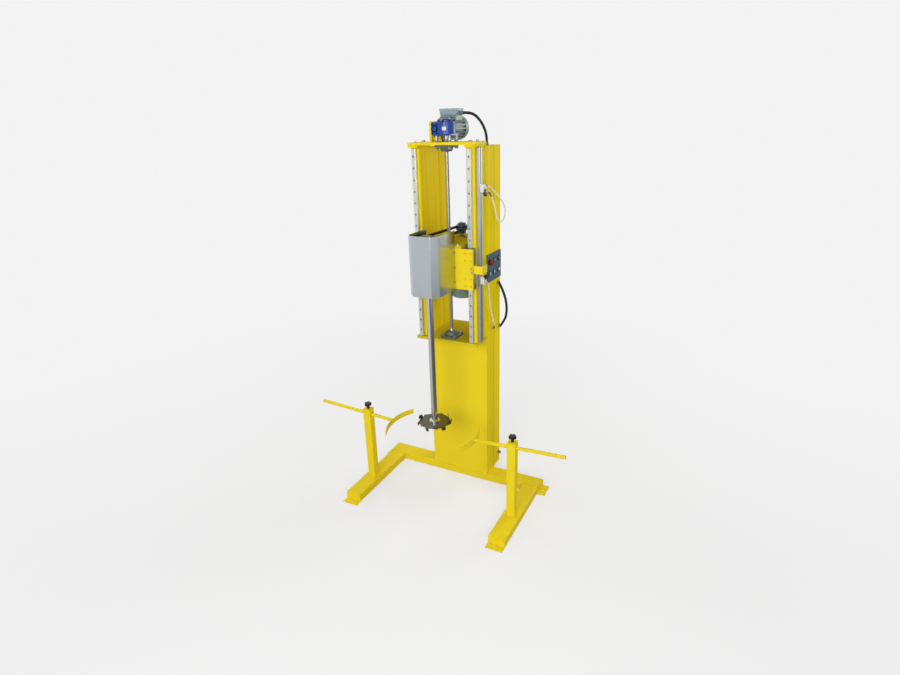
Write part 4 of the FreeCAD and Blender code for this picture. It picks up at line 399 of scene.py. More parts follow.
class Shop:
    """All finishes of the machine."""

    YELLOW = Enamel("yellow_enamel", (0.935, 0.835, 0.14))
    TUBE_YELLOW = Enamel("drawn_tube_yellow", (0.96, 0.855, 0.08), coat=0.0, gloss=0.02, run=0.06)
    # Darker, matte copy of the yellow enamel: painted shade for the tops of the column shelf and motor plate.
    SHADED_TOP_YELLOW = Enamel("shaded_top_yellow", (0.86, 0.77, 0.17), roughness=0.7, coat=0.0, gloss=0.0, cloud=0.12)
    GEAR_BLUE = Enamel(
        "gear_blue", (0.08, 0.26, 0.6), roughness=0.28, coat=0.22, gloss=0.35, peel=0.0001, cloud=0.08)
    PULLEY_BLUE = Enamel("pulley_blue", (0.2, 0.32, 0.38), roughness=0.3, coat=0.4, gloss=0.5, cloud=0.1)
    BOX_GREY = Enamel("box_grey", (0.6, 0.68, 0.71), coat=0.1, gloss=0.3, peel=0.0001)
    PANEL_BLUE = Enamel("panel_blue", (0.32, 0.4, 0.46), roughness=0.45, peel=0.00009, grain=600.0)
    MOTOR_GREY = Casting("motor_grey", (0.57, 0.67, 0.66))
    LIFT_MOTOR_GREY = Casting("lift_motor_grey", (0.46, 0.55, 0.545))
    CAST_GREEN = Casting("cast_green", (0.35, 0.41, 0.38), roughness=0.4)
    RAIL_STEEL = BrushedMetal("rail_steel", (0.9, 0.91, 0.87), grain=(900.0, 900.0, 3.0))
    BLOCK_STEEL = BrushedMetal("block_steel", (0.6, 0.62, 0.63), grain=(500.0, 500.0, 6.0))
    CHROME = BrushedMetal(
        "shaft_chrome", (0.86, 0.86, 0.85), grain=(3.0, 3.0, 1400.0), roughness=0.07, depth=0.000004, stain=0.04,
        streak=0.2)
    THREAD_STEEL = BrushedMetal("thread_steel", (0.78, 0.78, 0.76), grain=(60.0, 60.0, 900.0))
    STAINLESS = BrushedMetal(
        "guard_stainless", (0.76, 0.79, 0.81), grain=(70.0, 70.0, 1.2), roughness=0.25, depth=0.0, stain=0.03,
        streak=0.06, swing=0.012)
    DISC_STEEL = BrushedMetal(
        "disc_steel", (0.43, 0.42, 0.37), grain=(900.0, 0.6, 30.0), roughness=0.33, centre=(0.0, 0.2322, 0.549))
    BRONZE = BrushedMetal("nut_bronze", (0.72, 0.53, 0.28), grain=(20.0, 20.0, 700.0), roughness=0.32)
    ZINC = BrushedMetal("zinc_screw", (0.66, 0.68, 0.71), grain=(260.0, 260.0, 260.0), stain=0.2)
    BLACK_OXIDE = BrushedMetal("black_screw", (0.13, 0.13, 0.14), grain=(300.0, 300.0, 300.0), roughness=0.4)
    ALUMINIUM = BrushedMetal("anodised_aluminium", (0.74, 0.75, 0.73), grain=(700.0, 700.0, 2.0), roughness=0.52)
    BLACK = Plastic("black_plastic", (0.045, 0.045, 0.05))
    CONDUIT = Plastic("black_conduit", (0.035, 0.035, 0.04), roughness=0.5, stipple=0.00002)
    GREY_CABLE = Plastic("cable_grey", (0.88, 0.88, 0.82), roughness=0.36, stipple=0.00001, gloss=0.15)
    GLAND_GREY = Plastic("gland_grey", (0.42, 0.45, 0.45), roughness=0.4)
    START_TEAL = Plastic("start_teal", (0.12, 0.42, 0.34), roughness=0.25, gloss=0.4)
    # Light grey for the raise and lower caps and the discs on the start and stop caps: a painted highlight on the
    # panel's buttons.
    HIGHLIGHT_GREY = Plastic("painted_highlight_grey", (0.62, 0.68, 0.66), roughness=0.28, gloss=0.4)
    PANEL_RED = Plastic("panel_red", (0.46, 0.05, 0.06), roughness=0.3, gloss=0.25)
    WHITE = Plastic("white_plastic", (0.86, 0.86, 0.84), roughness=0.35)
    LAMP = Plastic("lamp_lens", (0.88, 0.87, 0.8), roughness=0.2, stipple=0.0, gloss=0.6)
    SEAL = Plastic("seal_green", (0.08, 0.26, 0.16), roughness=0.5)
    BELT = WovenRubber("belt_rubber", (0.035, 0.034, 0.034))


def choose(*pieces: Piece) -> None:
    """Select these pieces alone and make the first one active.

    Args:
        pieces: the pieces, or none to deselect everything.
    """
    if bpy.context.mode != "OBJECT":
        finish_edit()
    bpy.ops.object.select_all(action="DESELECT")
    for piece in pieces:
        piece.select_set(True)
    if pieces:
        bpy.context.view_layer.objects.active = pieces[0]


def edit(piece: Piece, kind: str = "VERT", action: str = "SELECT") -> None:
    """Open a piece in edit mode.

    Args:
        piece: the piece to edit.
        kind: what is selected, VERT, EDGE or FACE.
        action: whether all of it starts as SELECT or DESELECT.
    """
    choose(piece)
    bpy.ops.object.mode_set(mode="EDIT")
    bpy.ops.mesh.select_mode(type=kind)
    bpy.ops.mesh.select_all(action=action)


def finish_edit() -> None:
    """Go back to object mode."""
    bpy.ops.object.mode_set(mode="OBJECT")


def pick(piece: Piece, kind: str, test: Callable[[Vector, Vector], bool]) -> None:
    """Select faces or edges in edit mode.

    Args:
        piece: the piece to edit.
        kind: FACE or EDGE.
        test: takes a face's middle and normal, or an edge's middle and direction.
    """
    edit(piece, kind, "DESELECT")
    mesh = bmesh.from_edit_mesh(piece.data)
    if kind == "FACE":
        found = [(face, face.calc_center_median(), face.normal) for face in mesh.faces]
    else:
        ends = [(line, line.verts[0].co, line.verts[1].co) for line in mesh.edges]
        found = [(line, (one + other) / 2, (other - one).normalized()) for line, one, other in ends]
    for element, middle, direction in found:
        element.select_set(test(middle, direction))
    bmesh.update_edit_mesh(piece.data)


def modify(piece: Piece, kind: str, **settings: object) -> None:
    """Apply a modifier to a piece.

    Args:
        piece: the piece to change.
        kind: the modifier's type.
        settings: the modifier's fields.
    """
    choose(piece)
    modifier = piece.modifiers.new(kind.title(), kind)
    for name, value in settings.items():
        setattr(modifier, name, value)
    bpy.ops.object.modifier_apply(modifier=modifier.name)


def cut(piece: Piece, tool: Piece, operation: str = "DIFFERENCE") -> Piece:
    """Cut a piece with a tool and throw the tool away.

    Args:
        piece: the piece.
        tool: what it is cut with.
        operation: DIFFERENCE, or INTERSECT to keep only what lies in the tool.

    Returns:
        The same piece.
    """
    modify(piece, "BOOLEAN", operation=operation, solver="EXACT", object=tool)
    bpy.data.objects.remove(tool)
    return piece


def applied() -> Piece:
    """Write the active piece's place, turn and size into its mesh, and return it."""
    bpy.ops.object.transform_apply(location=True, rotation=True, scale=True)
    return bpy.context.object


def block(low: Triple, high: Triple) -> Piece:
    """Add a box.

    Args:
        low: its lowest corner in millimetres.
        high: its highest corner.

    Returns:
        The box.
    """
    choose()
    corner, far = Vector(low) * MM, Vector(high) * MM
    bpy.ops.mesh.primitive_cube_add(size=1.0, location=(corner + far) / 2)
    bpy.context.object.scale = far - corner
    return applied()


def round_bar(radius: float, low: float, high: float, vertices: int = 24) -> Piece:
    """Add an upright round bar at the origin.

    Args:
        radius: its radius in millimetres.
        low: the height of its lower end.
        high: the height of its upper end.
        vertices: how many sides it has.

    Returns:
        The bar.
    """
    choose()
    bpy.ops.mesh.primitive_cylinder_add(
        vertices=vertices, radius=radius * MM, depth=(high - low) * MM, location=(0, 0, (low + high) / 2 * MM))
    return applied()


def drawn(points: Sequence[Triple]) -> Piece:
    """Draw a line of edges by pulling one vertex from point to point.

    Args:
        points: the line's points in millimetres.

    Returns:
        The open line as a piece.
    """
    choose()
    bpy.ops.mesh.primitive_plane_add(size=MM)
    piece = bpy.context.object
    edit(piece)
    bpy.ops.mesh.merge(type="CENTER")
    path = [Vector(p) * MM for p in points]
    bpy.ops.transform.translate(value=path[0])
    for before, after in zip(path, path[1:]):
        bpy.ops.mesh.extrude_region_move(TRANSFORM_OT_translate={"value": after - before})
    finish_edit()
    return piece


def closed(piece: Piece) -> Piece:
    """Merge a piece's doubles and turn its faces outwards.

    Args:
        piece: the piece.

    Returns:
        The same piece.
    """
    edit(piece)
    bpy.ops.mesh.remove_doubles(threshold=MERGE)
    bpy.ops.mesh.normals_make_consistent(inside=False)
    finish_edit()
    return piece


def lathed(profile: Sequence[Pair], steps: int = 32) -> Piece:
    """Turn a profile about the upright axis through the origin.

    Args:
        profile: pairs of radius and height in millimetres.
        steps: how many sides the round has.

    Returns:
        The turned piece.
    """
    piece = drawn([(radius, 0.0, height) for radius, height in profile])
    edit(piece)
    bpy.ops.mesh.spin(steps=steps, angle=2 * math.pi, center=ORIGIN, axis=UP)
    return closed(piece)


def joined(pieces: Sequence[Piece]) -> Piece:
    """Join pieces into the first one.

    Args:
        pieces: the pieces.

    Returns:
        The first piece, which holds them all.
    """
    choose(*pieces)
    if len(pieces) > 1:
        bpy.ops.object.join()
    return pieces[0]


def moved(piece: Piece, point: Triple, out: Triple = UP, spin: float = 0.0) -> Piece:
    """Carry a piece drawn at the origin along +Z to its place.

    Args:
        piece: the piece.
        point: where its origin goes, in millimetres.
        out: where its +Z points.
        spin: turn about its own axis first, in degrees.

    Returns:
        The same piece, with its place in its mesh.
    """
    choose(piece)
    turn = Vector(out).to_track_quat("Z", "Y").to_matrix().to_4x4() @ Matrix.Rotation(math.radians(spin), 4, "Z")
    piece.matrix_world = Matrix.Translation(Vector(point) * MM) @ turn
    return applied()


def copies(master: Piece, places: Sequence[Place], twist: float = 37.0) -> Piece:
    """Copy a master to each place, each with its own mesh, and join the copies.

    Args:
        master: a piece drawn at the origin along +Z.
        places: pairs of a point in millimetres and the direction it faces.
        twist: how far each copy is turned from the one before, in degrees, as hands leave screws.

    Returns:
        One joined piece; the master is thrown away.
    """
    made = []
    for number, (point, out) in enumerate(places):
        copy = master.copy()
        copy.data = master.data.copy()
        bpy.context.collection.objects.link(copy)
        made.append(moved(copy, point, out, twist * number % 60.0))
    bpy.data.objects.remove(master)
    return joined(made)


def settled(piece: Piece, name: str, angle: float = 38.0) -> Piece:
    """Name a piece, close it, and smooth it by angle.

    Args:
        piece: the piece.
        name: its name.
        angle: edges sharper than this many degrees stay sharp.

    Returns:
        The same piece.
    """
    piece.name = piece.data.name = name
    closed(piece)
    bpy.ops.object.shade_smooth_by_angle(angle=math.radians(angle))
    return piece


def fit(piece: Piece, body: str, finish: Finish, instead_of: Sequence[str] = ()) -> Piece:
    """Give a finished piece its finish and the body that it moves with.

    Args:
        piece: the finished piece.
        body: the CAD body it rides on.
        finish: its finish.
        instead_of: CAD nodes that it stands for.

    Returns:
        The same piece.
    """
    piece.data.materials.clear()
    piece.data.materials.append(finish.material())
    if instead_of:
        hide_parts(*instead_of)
    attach(piece, body)
    log.info("%s: %s faces on %s", piece.name, len(piece.data.polygons), body)
    return piece


def turned(
        name: str, profile: Sequence[Pair], steps: int, place: Place, body: str, finish: Finish,
        angle: float = 30.0) -> Piece:
    """Turn a profile, carry it to its place, name and smooth it, and fit it to a body."""
    return fit(settled(moved(lathed(profile, steps), *place), name, angle), body, finish)


def linked(name: str, data: bpy.types.ID) -> Piece:
    """Put a mesh, curve, lamp or camera into the scene.

    Args:
        name: the object's name.
        data: what it shows.

    Returns:
        The object.
    """
    made = bpy.data.objects.new(name, data)
    bpy.context.scene.collection.objects.link(made)
    return made


def across(middle: Triple, out: Triple, first: float, second: float) -> Place:
    """Find a place beside a middle, in the plane across a direction.

    Args:
        middle: the point that it is measured from.
        out: direction that the place faces, along an axis.
        first: distance along the plane's first axis.
        second: distance along its second axis.

    Returns:
        The place.
    """
    shift = [first, second]
    shift.insert([abs(c) for c in out].index(1.0), 0.0)
    return tuple(m + s for m, s in zip(middle, shift)), out


def corners(middle: Triple, out: Triple, half: float, other: Optional[float] = None) -> list[Place]:
    """Four places round a middle, half and other away, or half both ways."""
    return [across(middle, out, i * half, j * (half if other is None else other)) for i in SIDES for j in SIDES]


def ring(middle: Triple, out: Triple, radius: float, degrees: Sequence[float]) -> list[Place]:
    """Places on a circle round a middle, at these angles."""
    angles = [math.radians(angle) for angle in degrees]
    return [across(middle, out, radius * math.cos(a), radius * math.sin(a)) for a in angles]


class Head(Enum):
    """Kinds of screw head on the machine."""

    HEX = "hex"
    SOCKET = "socket"
    PAN = "pan"


@dataclass(frozen=True)
class Screw:
    """Head of a screw by its thread's size in millimetres, seated at height 0."""

    head: Head
    size: float

    def model(self) -> Piece:
        """Model one head at the origin, facing up.

        Returns:
            The head: a nut on its washer, a socket head, or a pan head with a cross.
        """
        d = self.size
        if self.head is Head.HEX:
            washer = round_bar(1.05 * d, -0.3, 0.16 * d, 20)
            crown = lathed([
                (0.0, -1.0), (1.02 * d, -1.0), (1.02 * d, 0.62 * d), (0.72 * d, 0.82 * d), (0.0, 0.82 * d)], 24)
            return joined([washer, cut(round_bar(0.93 * d, 0.0, 0.82 * d, 6), crown, "INTERSECT")])
        if self.head is Head.SOCKET:
            head = lathed([(0.0, -0.3), (0.75 * d, -0.3), (0.75 * d, 0.88 * d), (0.66 * d, d), (0.0, d)], 20)
            return cut(head, round_bar(0.44 * d, 0.42 * d, 1.3 * d, 6))
        head = lathed([
            (0.0, -0.2), (0.95 * d, -0.2), (0.95 * d, 0.15 * d), (0.8 * d, 0.42 * d), (0.4 * d, 0.6 * d),
            (0.0, 0.62 * d)], 18)
        for spin in (0.0, 90.0):
            bit = block((-0.5 * d, -0.1 * d, 0.3 * d), (0.5 * d, 0.1 * d, d))
            head = cut(head, moved(bit, ORIGIN, spin=spin))
        return head

    def row(self, name: str, places: Sequence[Place], body: str, finish: Finish = Shop.ZINC) -> Piece:
        """Put a head at each place, as one piece that rides on a body."""
        return fit(settled(copies(self.model(), places), name), body, finish)


@dataclass
class Weld:
    """Bead of weld between two points in millimetres, lying in a corner."""

    start: Triple
    end: Triple
    radius: float = 3.0
    ripple: ClassVar[float] = 5.0
    valley: ClassVar[float] = 0.86

    def model(self) -> Piece:
        """Model the bead as a ripple of overlapping rounds, thinner at its ends.

        Returns:
            The bead in its corner.
        """
        run = Vector(self.end) - Vector(self.start)
        count = max(6, int(run.length / self.ripple))
        profile = [(0.0, 0.0)]
        for i in range(1, count):
            swell = (1.0 if i % 2 else self.valley) * min(1.0, 0.6 + 0.2 * min(i, count - i))
            profile.append((self.radius * swell, run.length * i / count))
        return moved(lathed([*profile, (0.0, run.length)], 8), self.start, tuple(run))


def weld_group(name: str, beads: Sequence[Weld], body: str) -> Piece:
    """Join beads into one painted piece."""
    return fit(settled(joined([bead.model() for bead in beads]), name, 60.0), body, Shop.YELLOW)


def both_sides(beads: Sequence[Weld]) -> list[Weld]:
    """Add the mirror image of each bead on the machine's other side."""
    return [*beads, *(Weld((-b.start[0], *b.start[1:]), (-b.end[0], *b.end[1:]), b.radius) for b in beads)]


class Assembly(ABC):
    """A sub-assembly: its sizes in millimetres as fields, and the finish of each of its CAD nodes."""

    finishes: ClassVar[dict[str, Finish]] = {}

    def dress(self) -> None:
        """Give each node its finish, on every material slot it has."""
        for node, finish in self.finishes.items():
            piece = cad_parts[node]
            if not piece.material_slots:
                piece.data.materials.append(finish.material())
            for slot in piece.material_slots:
                slot.material = finish.material()

    @abstractmethod
    def build(self) -> None:
        """Model the pieces that the sub-assembly adds."""


@dataclass
class FloorFrame(Assembly):
    """Floor frame of welded tube with its anchor angles."""

    leg: float = 473.0
    leg_half: float = 50.0
    leg_front: float = 24.0
    beam_front: float = 545.0
    angle_run: Pair = (549.0, 641.0)
    top: float = 50.0
    finishes: ClassVar[dict[str, Finish]] = dict.fromkeys(
        ("base_cross_beam", "left_leg", "right_leg", "anchor_angles"), Shop.YELLOW)

    def build(self) -> None:
        """Weld the legs to the beam and the angles to the tubes."""
        inner, outer, front, top = self.leg - self.leg_half, self.leg + self.leg_half, self.beam_front, self.top
        near, far = self.angle_run
        weld_group("floor_frame_welds", both_sides([
            Weld((inner + 4, front, top), (outer - 4, front, top)),
            Weld((inner, front, 6), (inner, front, top - 3), 3.5),
            Weld((inner + 4, self.leg_front, top), (outer - 4, self.leg_front, top), 2.5),
            Weld((outer, near, top), (outer, far, top), 2.5)]), "frame")


@dataclass
class Column(Assembly):
    """Column with its plates, shelf, rail bars and top plate."""

    half: float = 190.0
    front: float = 545.0
    back: float = 750.0
    foot: float = 50.0
    seam: float = 648.0
    seam_tops: Pair = (1290.0, 2030.0)
    shelf_half: float = 135.0
    shelf_front: float = 423.0
    shelf_top: float = 988.0
    top_plate: float = 2061.0
    bolt_x: float = 160.0
    bolt_rows: Pair = (425.0, 518.0)
    cover_x: float = 176.0
    cover_heights: tuple[float, ...] = (75.0, 292.0, 509.0, 726.0, 945.0)
    finishes: ClassVar[dict[str, Finish]] = {
        **dict.fromkeys(("column_plates", "top_plate"), Shop.YELLOW),
        **dict.fromkeys(
            ("left_column_tubes", "right_column_tubes", "left_rail_bar", "right_rail_bar"), Shop.TUBE_YELLOW),
        "column_shelf": Shop.SHADED_TOP_YELLOW}

    def build(self) -> None:
        """Add bolts, cover screws and welds."""
        bolts = [((side * self.bolt_x, y, self.top_plate), UP) for side in SIDES for y in self.bolt_rows]
        Screw(Head.HEX, 10.0).row("top_plate_bolts", bolts, "frame")
        covers = [((side * self.cover_x, self.back, z), BACK) for side in SIDES for z in self.cover_heights]
        Screw(Head.PAN, 6.0).row("back_cover_screws", covers, "frame")
        half, front, foot, shelf, under = self.half, self.front, self.foot, self.shelf_top, self.shelf_top - 16
        weld_group("column_welds", [
            Weld((-half + 4, front, foot), (half - 4, front, foot)),
            Weld((-half + 2, front, under), (half - 2, front, under), 2.0),
            *both_sides([
                Weld((self.shelf_half, self.shelf_front, shelf), (self.shelf_half, front, shelf), 2.5),
                Weld((half, front + 7, foot), (half, self.back - 6, foot))]),
            *(Weld((x, self.seam, foot + 4), (x, self.seam, top), 1.6) for x, top in zip((half, -half), self.seam_tops))
        ], "frame")


@dataclass
class LinearGuides(Assembly):
    """Rails with their screws, and the blocks' end seals."""

    rail_x: float = 160.0
    pocket_floor: float = 410.0
    first: float = 1031.5
    pitch: float = 60.0
    count: int = 17
    block_heights: Pair = (1350.5, 1487.5)
    block_half: float = 41.2
    block_y: float = 402.0
    seal_half: Triple = (28.5, 1.5, 13.0)
    gap_half: float = 12.4
    gap_top: float = 9.5
    finishes: ClassVar[dict[str, Finish]] = {"linear_rails": Shop.RAIL_STEEL, "linear_blocks": Shop.BLOCK_STEEL}

    def build(self) -> None:
        """Add the rail screws and the seals, which run round the rail with a gap."""
        rails = [side * self.rail_x for side in SIDES]
        heights = [self.first + i * self.pitch for i in range(self.count)]
        screws = [((x, self.pocket_floor, z), FRONT) for x in rails for z in heights]
        Screw(Head.SOCKET, 6.0).row("rail_screws", screws, "frame")
        seal = block(tuple(-half for half in self.seal_half), self.seal_half)
        seal = cut(seal, block((-self.gap_half, -4.0, -16.0), (self.gap_half, 4.0, self.gap_top)))
        modify(seal, "BEVEL", width=0.0012, segments=2, limit_method="ANGLE")
        ends = [
            ((x, self.block_y, height + end * self.block_half), FRONT)
            for x in rails for height in self.block_heights for end in SIDES]
        fit(settled(copies(seal, ends, 0.0), "block_seals"), "carriage", Shop.SEAL)


@dataclass
class LiftScrew(Assembly):
    """Trapezoidal lift screw, its bearings and its nut."""

    axis: Triple = (0.0, 476.4, 0.0)
    pitch: float = 4.0
    outer: float = 9.95
    root: float = 7.9
    chamfer: float = 1.2
    thread_low: float = 1036.0
    thread_high: float = 2010.0
    bottom: float = 991.0
    top: float = 2160.0
    flanges: Pair = (1001.0, 2034.0)
    flange_bolts: float = 38.0
    nut_flange: float = 1517.0
    nut_screws: float = 24.5
    nipples: Pair = (31.0, -10.0)
    finishes: ClassVar[dict[str, Finish]] = {
        "screw_bearings": Shop.CAST_GREEN, "lift_nut": Shop.BRONZE, "lift_screw": Shop.THREAD_STEEL}

    def thread(self) -> Piece:
        """Wind one turn's profile up the screw.

        Returns:
            The thread, from its lowest turn to its highest.
        """
        turn = ((self.root, 0.0), (self.root, 0.3), (self.outer, 0.42), (self.outer, 0.88), (self.root, 1.0))
        piece = drawn([(radius, 0.0, share * self.pitch) for radius, share in turn])
        modify(
            piece, "SCREW", axis="Z", screw_offset=self.pitch * MM, steps=14, render_steps=14,
            iterations=int((self.thread_high - self.thread_low) / self.pitch), use_merge_vertices=True,
            merge_threshold=MERGE)
        return moved(piece, (self.axis[0], self.axis[1], self.thread_low))

    def build(self) -> None:
        """Replace the plain bar by a threaded one, and bolt the bearings down."""
        pieces, inner, c = [self.thread()], self.outer - self.chamfer + 0.05, self.chamfer
        for low, high in ((self.bottom, self.thread_low + 1), (self.thread_high - 1, self.top)):
            pieces.append(moved(lathed([
                (0.0, low), (inner, low), (self.outer, low + c), (self.outer, high - c), (inner, high),
                (0.0, high)], 40), self.axis))
        screw = settled(joined(pieces), "threaded_lift_screw", 50.0)
        fit(screw, "lift_screw", Shop.THREAD_STEEL, ("lift_screw",))
        x, y, _ = self.axis
        faces = zip(self.flanges, (UP, DOWN))
        bolts = [place for z, out in faces for place in corners((x, y, z), out, self.flange_bolts)]
        Screw(Head.HEX, 10.0).row("bearing_bolts", bolts, "frame")
        flange = ring((x, y, self.nut_flange), DOWN, self.nut_screws, range(0, 360, 60))
        Screw(Head.SOCKET, 5.0).row("lift_nut_screws", flange, "carriage", Shop.BLACK_OXIDE)
        nipple = lathed([
            (0.0, -3.0), (3.0, -3.0), (3.0, 2.5), (1.8, 3.2), (1.8, 5.0), (2.6, 6.0), (2.2, 8.0), (0.8, 9.0),
            (0.0, 9.0)], 16)
        right, ahead = self.nipples
        low, high = self.flanges[0] + 11.0, self.flanges[1] - 11.0
        places = [((x + right, y + ahead, z), (0.8, -0.6, rise)) for z, rise in ((low, 0.3), (high, -0.3))]
        fit(settled(copies(nipple, places), "grease_nipples"), "frame", Shop.ZINC)


@dataclass
class LiftGear(Assembly):
    """Worm gearbox with its finned motor and terminal box."""

    centre: Triple = (0.0, 476.4, 2126.0)
    cover_top: float = 2160.0
    worm_x: float = -40.0
    front: float = 427.4
    motor_front: float = 533.4
    motor_back: float = 713.4
    box_y: float = 620.0
    box_bottom: float = 2190.0
    box_shoulder: float = 2196.3
    lid_low: float = 2211.0
    lid_top: float = 2223.0
    lid_half: Pair = (52.0, 44.5)
    lid_screws: Pair = (44.0, 36.5)
    case_half: Pair = (46.0, 39.0)
    rim_half: Pair = (50.0, 42.5)
    guard_rings: tuple[float, ...] = (10.0, 17.0, 24.0, 31.0, 38.0, 44.0)
    plate_ahead: Triple = (0.25, -0.97, 0.0)
    plate_half: float = 13.0
    finishes: ClassVar[dict[str, Finish]] = {
        "gearbox_housing": Shop.GEAR_BLUE, "gearbox_bracket": Shop.YELLOW, "gearbox_standoffs": Shop.ZINC,
        "worm_wheel": Shop.BRONZE, "worm_shaft": Shop.BLOCK_STEEL, "lift_motor_body": Shop.LIFT_MOTOR_GREY,
        "lift_terminal_box": Shop.BOX_GREY}

    def over_box(self, wide: float, deep: float, low: float, high: float) -> Piece:
        """Add a block about the terminal box's middle, from half its width and depth."""
        x, y = self.worm_x, self.box_y
        return block((x - wide, y - deep, low), (x + wide, y + deep, high))

    def lid(self) -> Piece:
        """Model the terminal box's lid with rounded corners and a screw pocket in each.

        Returns:
            The lid.
        """
        lid = self.over_box(*self.lid_half, self.lid_low, self.lid_top)
        pick(lid, "EDGE", lambda middle, run: abs(run.z) > 0.9)
        bpy.ops.mesh.bevel(offset=6 * MM, segments=5)
        finish_edit()
        for point, _ in corners((self.worm_x, self.box_y, self.lid_top), UP, *self.lid_screws):
            lid = cut(lid, moved(round_bar(5.5, -5.0, 5.0, 20), point))
        modify(lid, "BEVEL", width=0.0012, segments=2, limit_method="ANGLE", angle_limit=math.radians(50))
        return lid

    def case(self) -> Piece:
        """Model the terminal box's case, which widens to a straight rim.

        Returns:
            The case.
        """
        case = self.over_box(*self.case_half, self.box_bottom, self.box_shoulder)
        pick(case, "FACE", lambda middle, normal: normal.z > 0.9)
        wide, deep = (rim / low for rim, low in zip(self.rim_half, self.case_half))
        bpy.ops.transform.resize(value=(wide, deep, 1.0), center_override=(self.worm_x * MM, self.box_y * MM, 0))
        rise = (self.lid_low - self.box_shoulder) * MM
        bpy.ops.mesh.extrude_region_move(TRANSFORM_OT_translate={"value": (0, 0, rise)})
        pick(case, "EDGE", lambda middle, run: abs(run.z) > 0.2)
        bpy.ops.mesh.bevel(offset=5 * MM, segments=4)
        finish_edit()
        return case

    def build(self) -> None:
        """Add the terminal box, the screws, the covers, the rim, the fan guard and the bare plate."""
        box = settled(joined([self.case(), self.lid()]), "terminal_box_cast")
        fit(box, "frame", Shop.BOX_GREY, ("lift_terminal_box",))
        pockets = corners((self.worm_x, self.box_y, self.lid_top - 5.0), UP, *self.lid_screws)
        Screw(Head.PAN, 4.5).row("terminal_lid_screws", pockets, "frame")
        x, y, z = self.centre
        cover = ring((x, y, self.cover_top), UP, 37.0, range(30, 390, 60))
        Screw(Head.SOCKET, 6.0).row("gearbox_cover_screws", cover, "frame", Shop.BLACK_OXIDE)
        cap = corners((self.worm_x, self.front, z), FRONT, 14.0, 22.0)
        Screw(Head.SOCKET, 5.0).row("worm_cap_screws", cap, "frame", Shop.BLACK_OXIDE)
        flange = corners((self.worm_x, self.motor_front, z), FRONT, 29.5)
        Screw(Head.SOCKET, 5.0).row("motor_flange_screws", flange, "frame")
        self.grille()
        self.plate()
        self.covers()
        self.shield()

    def shield(self) -> None:
        """Model the raised rim and ribs on the motor's end shield, and its bolts."""
        rim = lathed([
            (50.0, -1.0), (60.4, -1.0), (60.4, 2.6), (59.2, 4.2), (57.4, 4.2), (56.2, 1.8), (50.0, 1.6),
            (50.0, -1.0)], 64)
        ribs = [moved(block((50.0, -1.5, -0.5), (57.5, 1.5, 3.6)), ORIGIN, spin=30.0 * i + 15.0) for i in range(12)]
        x, y, z = self.worm_x, self.motor_front + 8.0, self.centre[2]
        rim = settled(moved(joined([rim, *ribs]), (x, y, z), FRONT), "lift_motor_shield_rim", 30.0)
        fit(rim, "frame", Shop.LIFT_MOTOR_GREY)
        bolts = ring((x, y - 1.6, z), FRONT, 55.5, [angle for angle in range(30, 360, 30) if angle % 90])
        Screw(Head.HEX, 4.0).row("motor_shield_bolts", bolts, "frame")

    def covers(self) -> None:
        """Model the cover over the wheel's hub and the cap at the worm's front end."""
        x, y, z = self.centre
        turned("wheel_hub_cover", [
            (0.0, 0.0), (31.0, 0.0), (31.0, 4.0), (29.0, 5.5), (24.0, 5.5), (23.0, 7.0), (21.5, 11.0), (17.0, 13.0),
            (0.0, 13.6)], 48, ((x, y, self.cover_top + 0.3), UP), "frame", Shop.GEAR_BLUE)
        cap = ((self.worm_x, self.front, z), FRONT)
        turned("worm_cap_ring", [
            (10.6, -2.0), (19.0, -2.0), (19.0, 2.6), (17.6, 4.0), (12.2, 4.0), (10.8, 2.4), (10.6, -2.0)], 40,
            cap, "frame", Shop.GEAR_BLUE)
        turned("worm_cap_plug", [
            (0.0, -2.0), (10.5, -2.0), (10.5, 1.2), (8.5, 1.8), (3.0, 1.0), (0.0, 1.0)], 32,
            cap, "frame", Shop.CAST_GREEN)

    def grille(self) -> None:
        """Model the fan cowl's guard rings over a black disc that is painted shade in the opening."""
        back = ((self.worm_x, self.motor_back, self.centre[2]), BACK)
        # A flat black disc behind the rings: painted shade inside the cowl's opening.
        turned("lift_fan_opening_shade", [
            (0.0, -1.0), (43.0, -1.0), (43.0, 0.15), (0.0, 0.15)], 48, back, "frame", Shop.BLACK, 38.0)
        wires = [round_bar(6.0, -1.0, 1.6, 24)]
        for radius in self.guard_rings:
            choose()
            bpy.ops.mesh.primitive_torus_add(
                major_radius=radius * MM, minor_radius=1.3 * MM, major_segments=48, minor_segments=8)
            wires.append(bpy.context.object)
        for i in range(4):
            wires.append(moved(block((-44.0, -1.5, -0.6), (44.0, 1.5, 1.4)), ORIGIN, spin=45.0 * i))
        guard = settled(moved(joined(wires), *back), "lift_fan_guard")
        fit(guard, "frame", Shop.LIFT_MOTOR_GREY)

    def plate(self) -> None:
        """Model the bare data plate bent round the gearbox's drum."""
        plate = moved(round_bar(48.1, -9.0, 9.0, 120), self.centre)
        ahead, reach = Vector(self.plate_ahead).normalized(), math.cos(math.radians(self.plate_half))
        pick(plate, "FACE", lambda middle, normal: abs(normal.z) > 0.5 or normal.dot(ahead) < reach)
        bpy.ops.mesh.delete(type="FACE")
        finish_edit()
        modify(plate, "SOLIDIFY", thickness=0.0006, offset=1.0)
        fit(settled(plate, "gearbox_bare_plate"), "frame", Shop.ALUMINIUM)


